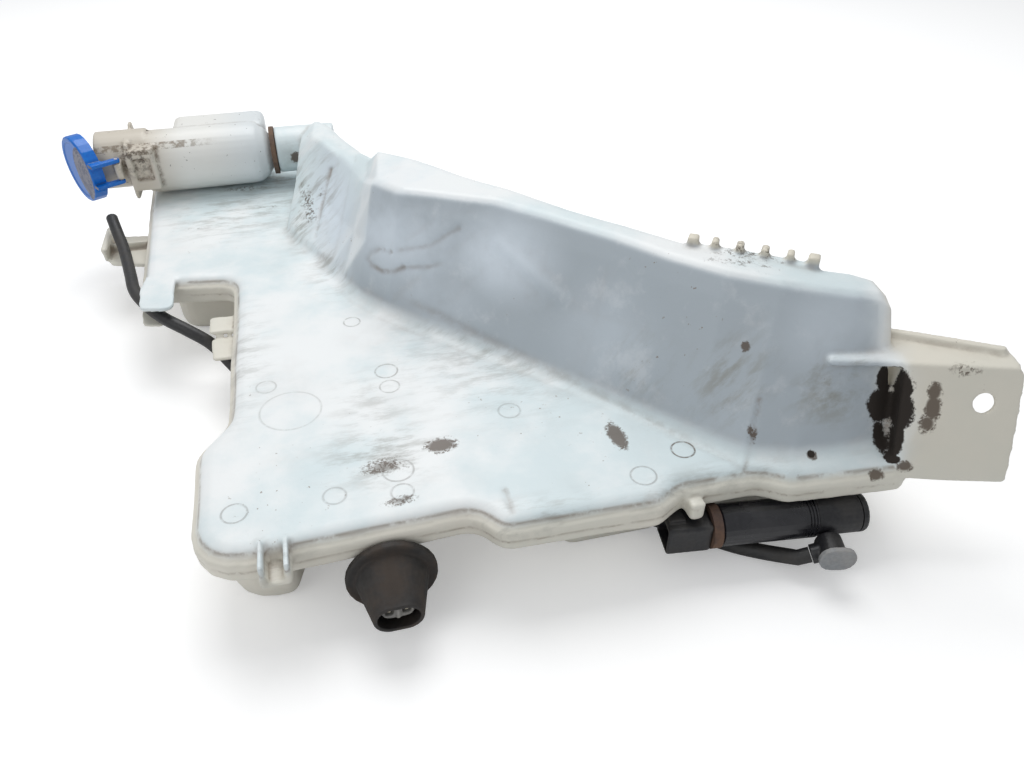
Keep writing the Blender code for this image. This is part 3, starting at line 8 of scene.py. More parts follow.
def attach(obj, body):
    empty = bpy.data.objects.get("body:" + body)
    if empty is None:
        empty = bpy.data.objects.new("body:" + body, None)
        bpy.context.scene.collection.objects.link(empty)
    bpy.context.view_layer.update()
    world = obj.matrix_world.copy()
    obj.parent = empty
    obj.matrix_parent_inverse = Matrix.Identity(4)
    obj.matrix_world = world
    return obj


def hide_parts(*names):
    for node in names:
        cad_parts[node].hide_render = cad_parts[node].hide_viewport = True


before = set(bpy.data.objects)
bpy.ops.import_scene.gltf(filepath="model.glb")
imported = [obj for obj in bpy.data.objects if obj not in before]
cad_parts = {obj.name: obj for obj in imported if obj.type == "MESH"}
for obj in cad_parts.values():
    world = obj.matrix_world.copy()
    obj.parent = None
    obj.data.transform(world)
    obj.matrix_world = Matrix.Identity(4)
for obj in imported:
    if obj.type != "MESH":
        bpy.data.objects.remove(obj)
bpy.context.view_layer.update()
print("frame loaded")

# the camera that took the photograph, in the frame's metres and degrees
view = {
    "place": (-0.060, -0.430, 0.365),
    "turn": (52.0, 0.0, -14.2),
    "lens": 28.125,
    "sensor": 36.0,
    "nearest": 0.01,
}


def deselect():
    for thing in list(bpy.context.selected_objects):
        thing.select_set(False)


def makeActive(thing):
    deselect()
    thing.select_set(True)
    bpy.context.view_layer.objects.active = thing


def addToScene(name, data):
    made = bpy.data.objects.new(name, data)
    bpy.context.scene.collection.objects.link(made)
    return made


def placeCamera():
    deselect()
    turn = [math.radians(angle) for angle in view["turn"]]
    bpy.ops.object.camera_add(location=view["place"], rotation=turn)
    camera = bpy.context.object
    camera.data.lens = view["lens"]
    camera.data.sensor_width = view["sensor"]
    camera.data.clip_start = view["nearest"]
    bpy.context.scene.camera = camera
    bpy.context.scene.view_settings.view_transform = "Standard"


placeCamera()

# washer hose, loose in the tank's clips and open at its far end
hose = {
    "diameter": 0.009,
    "exit": (0.1731, -0.1867, 0.0155),
    # straight out of the elbow's stub
    "lead": (0.1668, -0.1849, 0.0126),
    # from its open end down past the clips, under the tank and up to the pump
    "route": [
        (-0.2320, 0.2380, 0.0660),
        (-0.2262, 0.2175, 0.0610),
        (-0.2205, 0.1977, 0.0560),
        (-0.2125, 0.1610, 0.0530),
        (-0.2075, 0.1380, 0.0522),
        (-0.1985, 0.1180, 0.0512),
        (-0.1850, 0.0995, 0.0485),
        (-0.1680, 0.0875, 0.0420),
        (-0.1538, 0.0800, 0.0330),
        (-0.1410, 0.0670, 0.0210),
        (-0.1290, 0.0520, 0.0108),
        (-0.1150, 0.0390, 0.0064),
        (-0.0950, 0.0232, 0.0062),
        (0.0000, -0.0514, 0.0062),
        (0.0850, -0.1182, 0.0062),
        (0.1020, -0.1315, 0.0058),
        (0.1190, -0.1445, 0.0052),
        (0.1380, -0.1608, 0.0052),
        (0.1526, -0.1722, 0.0072),
    ],
    "steps": 5,
    "roundness": 5,
}


# points on a smooth curve through the route's own points
def smoothRoute(points, steps):
    padded = [points[0] * 2.0 - points[1]] + points + [points[-1] * 2.0 - points[-2]]
    fine = []
    for index in range(1, len(padded) - 2):
        before, start, end, after = padded[index - 1 : index + 3]
        for step in range(steps):
            t = step / steps
            square = (2.0 * before - 5.0 * start + 4.0 * end - after) * t * t
            cube = (3.0 * start - before - 3.0 * end + after) * t * t * t
            fine.append(0.5 * (2.0 * start + (end - before) * t + square + cube))
    return fine + [points[-1]]


def buildHose():
    chosen = [Vector(place) for place in hose["route"]] + [Vector(hose["lead"])]
    line = smoothRoute(chosen, hose["steps"]) + [Vector(hose["exit"])]
    line.reverse()
    curve = bpy.data.curves.new("washerHose", "CURVE")
    curve.dimensions = "3D"
    curve.bevel_depth = hose["diameter"] / 2.0
    curve.bevel_resolution = hose["roundness"]
    curve.use_fill_caps = True
    spline = curve.splines.new("POLY")
    spline.points.add(len(line) - 1)
    for point, place in zip(spline.points, line):
        point.co = (*place, 1.0)
    spline.use_smooth = True
    made = addToScene("washerHose", curve)
    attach(made, "tank_body")
    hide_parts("hose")
    return made


washerHose = buildHose()

# soft studio light from above and behind, a weak fill from the left, a white surround
studio = {
    "overhead": {"place": (0.05, 0.75, 1.45), "aim": (0.02, 0.05, 0.05), "power": 15.0, "size": 1.1},
    "fill": {"place": (-0.9, -0.7, 0.9), "aim": (0.0, 0.0, 0.05), "power": 2.6, "size": 0.8},
    "sky": (0.96, 0.98, 1.0),
    "skyStrength": 0.50,
    "floorSize": 9.0,
    "floorDrop": 0.0004,
    "floorGrey": 0.86,
    "floorLift": 0.28,
}


def areaLight(place, aim, power, size):
    bpy.ops.object.light_add(type="AREA", location=place)
    lamp = bpy.context.object
    lamp.data.energy = power
    lamp.data.size = size
    lamp.rotation_euler = (Vector(place) - Vector(aim)).to_track_quat("Z", "Y").to_euler()


# the sky lights the object, and the camera sees plain white
def makeWorld():
    world = bpy.data.worlds.new("studio")
    bpy.context.scene.world = world
    world.use_nodes = True
    nodes, links = world.node_tree.nodes, world.node_tree.links
    sky = nodes["Background"]
    sky.inputs["Color"].default_value = (*studio["sky"], 1.0)
    sky.inputs["Strength"].default_value = studio["skyStrength"]
    white = nodes.new("ShaderNodeBackground")
    white.inputs["Color"].default_value = (1.0, 1.0, 1.0, 1.0)
    white.inputs["Strength"].default_value = 1.0
    seen = nodes.new("ShaderNodeLightPath")
    blend = nodes.new("ShaderNodeMixShader")
    links.new(seen.outputs["Is Camera Ray"], blend.inputs["Fac"])
    links.new(sky.outputs["Background"], blend.inputs[1])
    links.new(white.outputs["Background"], blend.inputs[2])
    links.new(blend.outputs["Shader"], nodes["World Output"].inputs["Surface"])


# a matt floor that keeps the shadow and is lifted to white where the camera sees it
def makeFloor():
    deselect()
    bpy.ops.mesh.primitive_plane_add(
        size=studio["floorSize"], location=(0.0, 0.0, -studio["floorDrop"])
    )
    floor = bpy.context.object
    floor.name = "floor"
    paint = bpy.data.materials.new("floorPaint")
    paint.use_nodes = True
    nodes, links = paint.node_tree.nodes, paint.node_tree.links
    shader = nodes["Principled BSDF"]
    shader.inputs["Base Color"].default_value = (*[studio["floorGrey"]] * 3, 1.0)
    shader.inputs["Roughness"].default_value = 1.0
    shader.inputs["Specular IOR Level"].default_value = 0.0
    seen = nodes.new("ShaderNodeLightPath")
    lift = nodes.new("ShaderNodeMath")
    lift.operation = "MULTIPLY"
    lift.inputs[1].default_value = studio["floorLift"]
    glow = nodes.new("ShaderNodeEmission")
    together = nodes.new("ShaderNodeAddShader")
    links.new(seen.outputs["Is Camera Ray"], lift.inputs[0])
    links.new(lift.outputs[0], glow.inputs["Strength"])
    links.new(shader.outputs["BSDF"], together.inputs[0])
    links.new(glow.outputs["Emission"], together.inputs[1])
    links.new(together.outputs["Shader"], nodes["Material Output"].inputs["Surface"])
    floor.data.materials.append(paint)


areaLight(**studio["overhead"])
areaLight(**studio["fill"])
makeWorld()
makeFloor()
print("camera, light and floor made")


# a procedural material in the making, with its patterns in Object coordinates
class Paint:
    def __init__(self, name, roughness, metallic=0.0, coat=0.0):
        self.material = bpy.data.materials.new(name)
        self.material.use_nodes = True
        self.nodes = self.material.node_tree.nodes
        self.links = self.material.node_tree.links
        self.shader = self.nodes["Principled BSDF"]
        self.shader.inputs["Roughness"].default_value = roughness
        self.shader.inputs["Metallic"].default_value = metallic
        self.shader.inputs["Coat Weight"].default_value = coat
        self.where = self.nodes.new("ShaderNodeTexCoord").outputs["Object"]

    # a number or a colour is set on the socket, anything else is linked to it
    def feed(self, socket, value):
        if isinstance(value, (int, float)):
            socket.default_value = value
        elif isinstance(value, tuple):
            socket.default_value = (*value, 1.0)
        else:
            self.links.new(value, socket)

    def noise(self, scale, detail=4.0, roughness=0.55, where=None):
        pattern = self.nodes.new("ShaderNodeTexNoise")
        pattern.inputs["Scale"].default_value = scale
        pattern.inputs["Detail"].default_value = detail
        pattern.inputs["Roughness"].default_value = roughness
        self.links.new(where or self.where, pattern.inputs["Vector"])
        return pattern.outputs["Fac"]

    # 0 at low and 1 at high, with a soft start and end
    def ramp(self, value, low, high):
        spread = self.nodes.new("ShaderNodeMapRange")
        spread.interpolation_type = "SMOOTHSTEP"
        spread.inputs["From Min"].default_value = low
        spread.inputs["From Max"].default_value = high
        self.links.new(value, spread.inputs["Value"])
        return spread.outputs["Result"]

    def sum(self, operation, *values):
        step = self.nodes.new("ShaderNodeMath")
        step.operation = operation
        for socket, value in zip(step.inputs, values):
            self.feed(socket, value)
        return step.outputs[0]

    def times(self, first, second):
        return self.sum("MULTIPLY", first, second)

    def inverse(self, value):
        return self.sum("SUBTRACT", 1.0, value)

    def mix(self, amount, first, second):
        blend = self.nodes.new("ShaderNodeMix")
        blend.data_type = "RGBA"
        self.feed(blend.inputs["Factor"], amount)
        self.feed(blend.inputs[6], first)
        self.feed(blend.inputs[7], second)
        return blend.outputs[2]

    def attribute(self, name):
        read = self.nodes.new("ShaderNodeAttribute")
        read.attribute_name = name
        return read.outputs["Fac"]

    def axes(self):
        split = self.nodes.new("ShaderNodeSeparateXYZ")
        self.links.new(self.where, split.inputs[0])
        return split.outputs

    def vector(self, operation, first, second=None):
        step = self.nodes.new("ShaderNodeVectorMath")
        step.operation = operation
        self.links.new(first, step.inputs[0])
        if second:
            step.inputs[1].default_value = second
        return step.outputs["Value" if operation in ("LENGTH", "DISTANCE") else "Vector"]

    # soft oval marks, 1 at each centre: centre, reach along x, y and z, strength
    def marks(self, ovals):
        total = None
        for centre, reach, strength in ovals:
            apart = self.vector("SUBTRACT", self.where, centre)
            away = self.vector("LENGTH", self.vector("DIVIDE", apart, reach))
            mark = self.times(self.ramp(away, 1.7, 0.1), strength)
            total = self.sum("MAXIMUM", total, mark) if total else mark
        return total

    def finish(self, colour, rough, height, strength, depth):
        bump = self.nodes.new("ShaderNodeBump")
        bump.inputs["Strength"].default_value = strength
        bump.inputs["Distance"].default_value = depth
        self.links.new(height, bump.inputs["Height"])
        self.links.new(bump.outputs["Normal"], self.shader.inputs["Normal"])
        self.links.new(colour, self.shader.inputs["Base Color"])
        self.links.new(rough, self.shader.inputs["Roughness"])
        return self.material


wear = {"cloudShare": 0.12, "creaseDirtAndShade": 0.6, "edgeRub": 0.5, "roughSwing": 0.25, "bump": 0.5}


# moulded or painted stuff with a mottled colour, dust and painted shade in its creases, and rubbed edges
def wornPaint(name, colour, worn, rough, grain, dirt=0.35, metallic=0.0, coat=0.0, depth=0.0002):
    p = Paint(name, rough, metallic, coat)
    cloud = p.ramp(p.noise(grain * wear["cloudShare"], 5.0, 0.65), 0.42, 0.66)
    fine = p.noise(grain, 3.0)
    lighter = tuple(c * 1.25 + 0.004 for c in colour)
    darker = tuple(c * 0.45 for c in worn)
    tone = p.mix(p.ramp(fine, 0.3, 0.7), colour, lighter)
    tone = p.mix(p.times(cloud, dirt), tone, worn)
    # a darker copy of the worn colour in the creases: dust and painted shade
    held = p.times(p.attribute("crease"), p.ramp(fine, 0.2, 0.6))
    tone = p.mix(p.times(held, wear["creaseDirtAndShade"]), tone, darker)
    rubbed = p.times(p.attribute("edge"), cloud)
    tone = p.mix(p.times(rubbed, wear["edgeRub"]), tone, worn)
    roughness = p.sum("MULTIPLY_ADD", cloud, wear["roughSwing"], rough - 0.05)
    return p.finish(tone, roughness, fine, wear["bump"], depth)


# the tank's colours, and where the photograph shows its marks
tankLook = {
    "bright": (0.84, 0.86, 0.86),
    "cool": (0.66, 0.75, 0.77),
    # the wall's own grey tint, darkened further as painted shade
    "wall": (0.41, 0.46, 0.50),
    "pale": (0.70, 0.72, 0.74),
    "glow": (0.70, 0.77, 0.84),
    "aged": (0.70, 0.65, 0.54),
    "dirtAndShadeGrey": (0.27, 0.27, 0.24),
    "stainAndShade": (0.20, 0.14, 0.095),
    "smear": (0.085, 0.056, 0.035),
    "blackGrimeAndShade": (0.022, 0.016, 0.012),
    "ringInk": (0.16, 0.14, 0.12),
    "plateTop": 0.0600,
    "plateSlack": 0.0012,
    "streakStretch": (1.0, 3.2, 0.7),
    # moulding rings on the flat top: x, y, radius and how dark
    "rings": [
        (-0.054, 0.043, 0.0055, 0.45),
        (0.114, -0.133, 0.0065, 0.95),
        (0.085, -0.147, 0.0070, 0.45),
        (-0.129, -0.121, 0.0066, 0.45),
        (0.028, -0.076, 0.0065, 0.30),
        (-0.043, -0.127, 0.0060, 0.40),
        (-0.078, -0.121, 0.0060, 0.30),
        (-0.112, -0.017, 0.0060, 0.30),
        (-0.098, -0.044, 0.0180, 0.22),
        (-0.038, -0.019, 0.0070, 0.50),
        (-0.038, -0.035, 0.0060, 0.40),
        (-0.043, -0.110, 0.0085, 0.40),
    ],
    # painted light on the wall, as bright clouds: centre, reach along x, y and z, strength
    "glows": [
        ((-0.010, 0.070, 0.110), (0.050, 0.060, 0.030), 0.95),
        ((0.040, 0.010, 0.115), (0.035, 0.035, 0.022), 1.0),
        ((0.000, 0.030, 0.085), (0.035, 0.040, 0.018), 0.50),
        ((0.100, -0.050, 0.085), (0.030, 0.030, 0.030), 0.35),
        ((0.195, -0.130, 0.125), (0.030, 0.020, 0.020), 0.45),
        ((-0.055, 0.150, 0.095), (0.020, 0.060, 0.040), 0.90),
    ],
    # grey streaks: road dirt on the plate, and painted shade on the wall's right end and by the left folds
    "greyDirtAndShade": [
        ((-0.130, 0.240, 0.060), (0.055, 0.050, 0.010), 0.55),
        ((-0.082, 0.215, 0.080), (0.012, 0.060, 0.040), 0.95),
        ((-0.060, 0.195, 0.095), (0.014, 0.050, 0.030), 0.60),
        ((-0.110, 0.295, 0.060), (0.040, 0.020, 0.010), 0.80),
        ((0.148, -0.115, 0.085), (0.022, 0.018, 0.030), 0.75),
        ((0.195, -0.138, 0.088), (0.020, 0.012, 0.028), 0.85),
        ((0.110, -0.080, 0.080), (0.018, 0.018, 0.020), 0.45),
        ((-0.050, -0.095, 0.060), (0.030, 0.025, 0.010), 0.65),
        ((-0.048, -0.055, 0.060), (0.025, 0.035, 0.010), 0.35),
        ((-0.130, 0.020, 0.060), (0.020, 0.060, 0.010), 0.40),
        ((-0.100, -0.160, 0.058), (0.050, 0.010, 0.010), 0.70),
        ((0.000, -0.160, 0.058), (0.060, 0.012, 0.010), 0.50),
        ((0.115, -0.160, 0.058), (0.050, 0.012, 0.010), 0.45),
        ((-0.060, 0.120, 0.064), (0.020, 0.040, 0.008), 0.60),
        ((0.030, -0.020, 0.062), (0.060, 0.060, 0.004), 0.45),
    ],
    # brown smears
    "smears": [
        ((-0.017, -0.096, 0.060), (0.012, 0.008, 0.01), 0.9),
        ((0.082, -0.113, 0.060), (0.006, 0.014, 0.01), 1.0),
        ((-0.050, -0.105, 0.060), (0.018, 0.010, 0.01), 0.7),
        ((-0.045, -0.133, 0.060), (0.014, 0.005, 0.01), 0.7),
        ((0.243, -0.161, 0.097), (0.0050, 0.008, 0.007), 0.95),
        ((0.2425, -0.164, 0.089), (0.0055, 0.008, 0.010), 1.0),
        ((0.240, -0.166, 0.080), (0.0060, 0.008, 0.007), 0.85),
        ((0.258, -0.160, 0.108), (0.015, 0.010, 0.0045), 0.62),
        ((0.231, -0.152, 0.098), (0.005, 0.010, 0.012), 0.62),
        ((0.229, -0.173, 0.057), (0.006, 0.006, 0.004), 0.9),
        ((0.212, -0.172, 0.054), (0.006, 0.006, 0.004), 0.9),
        ((-0.130, 0.285, 0.060), (0.035, 0.010, 0.01), 0.55),
        ((-0.110, 0.240, 0.060), (0.030, 0.012, 0.01), 0.45),
        ((-0.165, 0.215, 0.060), (0.025, 0.006, 0.01), 0.45),
        ((-0.073, 0.200, 0.078), (0.010, 0.045, 0.02), 0.60),
        ((-0.060, 0.190, 0.087), (0.008, 0.040, 0.015), 0.45),
        ((-0.078, 0.278, 0.087), (0.006, 0.006, 0.006), 1.0),
        ((0.052, -0.045, 0.062), (0.060, 0.048, 0.003), 0.35),
        ((0.154, -0.111, 0.109), (0.004, 0.004, 0.004), 0.9),
        ((0.150, -0.142, 0.071), (0.004, 0.008, 0.008), 0.7),
        ((0.179, -0.157, 0.063), (0.004, 0.004, 0.004), 0.9),
        ((0.150, -0.060, 0.142), (0.004, 0.004, 0.004), 0.4),
        ((0.172, -0.068, 0.144), (0.040, 0.030, 0.012), 0.55),
        ((-0.185, 0.345, 0.058), (0.020, 0.006, 0.006), 0.9),
        ((-0.090, 0.340, 0.060), (0.020, 0.006, 0.006), 0.9),
    ],
    # black dirt beside the bracket, and painted shade in the recess at its corner
    "grimeAndShadePatches": [
        ((0.226, -0.150, 0.095), (0.008, 0.018, 0.016), 1.0),
        ((0.224, -0.154, 0.084), (0.013, 0.018, 0.015), 1.0),
        ((0.222, -0.162, 0.071), (0.009, 0.014, 0.014), 1.0),
        ((0.223, -0.168, 0.060), (0.006, 0.006, 0.003), 0.9),
        ((0.206, -0.150, 0.092), (0.004, 0.006, 0.008), 0.55),
        ((0.179, -0.157, 0.064), (0.003, 0.003, 0.003), 0.9),
    ],
}


def tankPaint():
    look = tankLook
    p = Paint("tankPlastic", 0.42)
    cloud = p.noise(9.0, 6.0, 0.6)
    blotch = p.noise(34.0, 6.0, 0.7)
    ragged = p.noise(150.0, 5.0, 0.75)
    fine = p.noise(420.0, 2.0)
    # white top; a greyer wall front, its own grey tint darkened by painted shade; yellowed rim
    wallShade = p.attribute("wallShade")
    base = p.mix(p.ramp(cloud, 0.40, 0.62), look["bright"], look["cool"])
    base = p.mix(wallShade, base, look["wall"])
    pale = p.times(p.ramp(blotch, 0.52, 0.70), p.times(wallShade, 0.35))
    base = p.mix(pale, base, look["pale"])
    base = p.mix(p.attribute("aged"), base, look["aged"])
    # painted light: bright clouds where the light comes through
    shine = p.times(p.marks(look["glows"]), p.ramp(cloud, 0.25, 0.60))
    base = p.mix(shine, base, look["glow"])
    # grey streaks of road dirt and painted shade
    stretch = p.nodes.new("ShaderNodeMapping")
    stretch.inputs["Scale"].default_value = look["streakStretch"]
    p.links.new(p.where, stretch.inputs["Vector"])
    streak = p.ramp(p.noise(42.0, 6.0, 0.68, stretch.outputs["Vector"]), 0.44, 0.66)
    base = p.mix(p.times(p.marks(look["greyDirtAndShade"]), streak), base, look["dirtAndShadeGrey"])
    # thin lines: the mould's seams round the rim and scratches, and painted shade along the folds
    thin = p.times(p.attribute("line"), p.ramp(p.noise(60.0, 4.0, 0.7), 0.36, 0.56))
    base = p.mix(p.times(thin, 0.8), base, look["stainAndShade"])
    # dirt and painted shade in the creases, broken up by noise
    gathered = p.times(p.attribute("crease"), p.ramp(blotch, 0.34, 0.62))
    base = p.mix(p.times(gathered, 0.75), base, look["stainAndShade"])
    # brown smears, whole in the middle and dotted towards their edge
    smear = p.marks(look["smears"])
    edge = p.sum("ADD", smear, p.times(ragged, 0.9))
    smeared = p.times(p.ramp(edge, 0.86, 1.12), p.ramp(smear, 0.03, 0.25))
    dots = p.ramp(p.noise(420.0, 2.0, 0.7), 0.46, 0.54)
    dots = p.sum("MAXIMUM", dots, p.ramp(smear, 0.55, 0.8))
    base = p.mix(p.times(p.times(smeared, dots), 0.9), base, look["smear"])
    # black dirt and painted shade, with a torn edge
    patch = p.marks(look["grimeAndShadePatches"])
    torn = p.sum("ADD", patch, p.times(ragged, 0.7))
    black = p.times(p.ramp(torn, 0.86, 0.98), p.ramp(patch, 0.05, 0.3))
    base = p.mix(black, base, look["blackGrimeAndShade"])
    # fine specks of dirt
    region = p.ramp(p.noise(14.0, 3.0), 0.50, 0.66)
    specks = p.times(p.ramp(p.noise(240.0, 2.0, 0.8), 0.69, 0.74), region)
    base = p.mix(p.times(specks, 0.75), base, look["stainAndShade"])
    height = p.sum("MULTIPLY_ADD", blotch, 0.9, p.times(fine, 0.10))
    # rings left by the mould, only on the flat top
    axes = p.axes()
    level = p.sum("COMPARE", axes["Z"], look["plateTop"], look["plateSlack"])
    flat = p.nodes.new("ShaderNodeCombineXYZ")
    p.links.new(axes["X"], flat.inputs[0])
    p.links.new(axes["Y"], flat.inputs[1])
    for x, y, radius, dark in look["rings"]:
        away = p.vector("DISTANCE", flat.outputs[0], (x, y, 0.0))
        off = p.sum("ABSOLUTE", p.sum("SUBTRACT", away, radius))
        line = p.times(p.inverse(p.ramp(off, 0.0002, 0.0008)), level)
        broken = p.times(line, p.ramp(ragged, 0.30, 0.55))
        base = p.mix(p.times(broken, dark), base, look["ringInk"])
        height = p.sum("MULTIPLY_ADD", line, -0.5, height)
    rough = p.sum("MULTIPLY_ADD", blotch, 0.25, 0.30)
    rough = p.sum("MAXIMUM", rough, p.times(black, 0.85))
    return p.finish(base, rough, height, 0.55, 0.0006)


# the filler pipe: whiter along its length, bluish at its far end, dirty at seam and hinge
pipeLook = {
    "mouth": (0.60, 0.55, 0.47),
    "middle": (0.80, 0.80, 0.77),
    "farEnd": (0.63, 0.71, 0.77),
    "cloud": (0.45, 0.40, 0.33),
    "crease": (0.15, 0.105, 0.07),
    "seam": (0.20, 0.15, 0.10),
    "speck": (0.05, 0.035, 0.025),
    "seamHeight": 0.1075,
    "seamWidth": 0.0022,
    "hinge": (-0.208, 0.272, 0.101),
}


def pipePaint():
    look = pipeLook
    p = Paint("pipePlastic", 0.36)
    cloud = p.noise(24.0, 5.0, 0.6)
    ragged = p.noise(170.0, 4.0, 0.75)
    axes = p.axes()
    base = p.mix(p.ramp(axes["X"], -0.205, -0.165), look["mouth"], look["middle"])
    base = p.mix(p.times(p.ramp(axes["X"], -0.155, -0.11), 0.55), base, look["farEnd"])
    base = p.mix(p.times(cloud, 0.12), base, look["cloud"])
    # dirt and painted shade in the creases
    held = p.times(p.attribute("crease"), p.ramp(ragged, 0.32, 0.6))
    base = p.mix(p.times(held, 0.75), base, look["crease"])
    # the long seam on the top, brown with dirt
    seam = p.sum("COMPARE", axes["Z"], look["seamHeight"], look["seamWidth"])
    seam = p.times(seam, p.ramp(ragged, 0.40, 0.56))
    seam = p.times(seam, p.ramp(axes["X"], -0.135, -0.175))
    base = p.mix(p.times(seam, 0.75), base, look["seam"])
    # specks, and the black muck round the hinge
    specks = p.ramp(p.noise(210.0, 2.0, 0.8), 0.69, 0.73)
    near = p.inverse(p.ramp(p.vector("DISTANCE", p.where, look["hinge"]), 0.002, 0.022))
    specks = p.sum("MAXIMUM", specks, p.times(near, p.ramp(ragged, 0.46, 0.60)))
    base = p.mix(p.times(specks, 0.85), base, look["speck"])
    rough = p.sum("MULTIPLY_ADD", cloud, 0.25, 0.25)
    return p.finish(base, rough, p.sum("ADD", cloud, specks), 0.4, 0.0004)


# the cap: its round face is scuffed grey, with plain ripples inside a clean blue rim
capLook = {
    "blue": (0.0, 0.135, 0.56),
    "brightBlue": (0.0, 0.165, 0.62),
    "creaseShadeBlue": (0.01, 0.03, 0.10),
    "grey": (0.125, 0.115, 0.125),
    "scuffed": (0.27, 0.25, 0.24),
    "ripple": (0.38, 0.36, 0.35),
    "ripples": 60.0,
    "rim": (0.84, 0.87),
    "centre": (-0.2475, 0.2680, 0.0920),
    "facing": (-0.8572, -0.5150, 0.0),
    "radius": 0.0275,
}


def capPaint():
    look = capLook
    p = Paint("capPlastic", 0.34)
    fine = p.noise(380.0, 3.0)
    scuff = p.noise(130.0, 6.0, 0.75)
    blue = p.mix(p.ramp(fine, 0.3, 0.7), look["blue"], look["brightBlue"])
    # painted shade: a darker blue in the creases
    blue = p.mix(p.times(p.attribute("crease"), 0.5), blue, look["creaseShadeBlue"])
    away = p.attribute("fromAxis")
    ripple = p.sum("SINE", p.times(away, look["ripples"]))
    grey = p.mix(p.ramp(scuff, 0.40, 0.60), look["grey"], look["scuffed"])
    grey = p.mix(p.times(p.ramp(ripple, 0.2, 0.9), 0.35), grey, look["ripple"])
    onFace = p.times(p.attribute("face"), p.inverse(p.ramp(away, *look["rim"])))
    base = p.mix(p.times(onFace, 0.88), blue, grey)
    rough = p.sum("MULTIPLY_ADD", onFace, 0.25, 0.32)
    height = p.sum("ADD", fine, p.times(ripple, onFace))
    return p.finish(base, rough, height, 0.5, 0.0002)


# colour, worn colour, roughness, grain, and where they differ dirt, metal, coat and bump
wornLooks = {
    "strainer": ("strainerPlastic", (0.74, 0.73, 0.66), (0.5, 0.46, 0.36), 0.45, 400.0),
    "brownSeal": ("brownRubber", (0.085, 0.055, 0.040), (0.20, 0.13, 0.09), 0.80, 420.0, 0.7),
    "softRubber": ("softRubber", (0.020, 0.020, 0.020), (0.09, 0.08, 0.07), 0.75, 500.0),
    "black": ("blackNylon", (0.010, 0.010, 0.012), (0.065, 0.06, 0.055), 0.40, 520.0, 0.35),
    "can": ("canPaint", (0.007, 0.007, 0.010), (0.05, 0.048, 0.05), 0.24, 300.0, 0.25, 0.0, 0.25, 0.00005),
    "rust": ("rustyRing", (0.060, 0.036, 0.028), (0.17, 0.10, 0.065), 0.80, 480.0, 0.8),
    "terminal": ("terminalMetal", (0.62, 0.58, 0.46), (0.35, 0.28, 0.18), 0.32, 600.0, 0.4, 1.0),
    "bronze": ("bushBronze", (0.50, 0.36, 0.15), (0.22, 0.15, 0.07), 0.42, 900.0, 0.3, 1.0),
    "ferrite": ("magnetFerrite", (0.055, 0.055, 0.060), (0.10, 0.10, 0.10), 0.55, 800.0),
    "copper": ("armatureCopper", (0.42, 0.18, 0.07), (0.20, 0.09, 0.04), 0.38, 700.0, 0.4, 0.9),
    "steel": ("shaftSteel", (0.60, 0.60, 0.60), (0.40, 0.39, 0.37), 0.25, 900.0, 0.2, 1.0),
    "impeller": ("impellerAcetal", (0.46, 0.46, 0.43), (0.34, 0.32, 0.28), 0.45, 500.0),
    "boot": ("bootRubber", (0.018, 0.016, 0.015), (0.070, 0.052, 0.040), 0.68, 330.0, 0.6),
    "sensor": ("sensorNylon", (0.24, 0.235, 0.225), (0.34, 0.32, 0.29), 0.55, 420.0),
    "float": ("floatFoam", (0.62, 0.47, 0.14), (0.45, 0.35, 0.16), 0.60, 500.0),
    "greyCap": ("greyPlastic", (0.21, 0.22, 0.23), (0.38, 0.36, 0.34), 0.48, 420.0, 0.4),
    "hose": ("hoseRubber", (0.016, 0.016, 0.017), (0.075, 0.068, 0.060), 0.50, 420.0, 0.45),
}
paints = {"tank": tankPaint(), "pipe": pipePaint(), "cap": capPaint()}
for kind, look in wornLooks.items():
    paints[kind] = wornPaint(*look)
washerHose.data.materials.append(paints["hose"])
print("materials made")


def mergedCopy(node, name):
    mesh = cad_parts[node].data.copy()
    mesh.name = name
    mesh.materials.clear()
    made = addToScene(name, mesh)
    makeActive(made)
    bpy.ops.object.mode_set(mode="EDIT")
    bpy.ops.mesh.select_all(action="SELECT")
    bpy.ops.mesh.remove_doubles(threshold=0.000005)
    bpy.ops.object.mode_set(mode="OBJECT")
    return made


def applied(thing, kind, **settings):
    modifier = thing.modifiers.new(kind.title(), kind)
    for name, value in settings.items():
        setattr(modifier, name, value)
    makeActive(thing)
    bpy.ops.object.modifier_apply(modifier=modifier.name)


# the mesh's points, their normals, and the pairs of points that edges join
def shapeOf(mesh):
    points = np.empty(len(mesh.vertices) * 3, np.float32)
    normals = np.empty(len(mesh.vertices) * 3, np.float32)
    edges = np.empty(len(mesh.edges) * 2, np.int32)
    mesh.vertices.foreach_get("co", points)
    mesh.vertices.foreach_get("normal", normals)
    mesh.edges.foreach_get("vertices", edges)
    return (
        points.reshape(-1, 3).astype(float),
        normals.reshape(-1, 3).astype(float),
        edges.reshape(-1, 2),
    )


def store(mesh, name, values):
    layer = mesh.attributes.new(name, "FLOAT", "POINT")
    layer.data.foreach_set("value", np.clip(values, 0.0, 1.0).astype(np.float32))


# each point's value averaged with its neighbours', several times over
def relaxed(values, edges, rounds):
    values = values.reshape(len(values), -1)
    count = np.bincount(edges.ravel(), minlength=len(values)).astype(float)
    for _ in range(rounds):
        total = np.zeros_like(values)
        np.add.at(total, edges[:, 0], values[edges[:, 1]])
        np.add.at(total, edges[:, 1], values[edges[:, 0]])
        values = 0.5 * values + 0.5 * total / count[:, None]
    return values


# how deep each point lies below its relaxed surroundings
def hollowAt(points, normals, edges, rounds):
    return ((relaxed(points, edges, rounds) - points) * normals).sum(1)


# 0 up to low and 1 from high on, or the other way round where low is the higher
def faded(values, low, high):
    return np.clip((values - low) / (high - low), 0.0, 1.0)


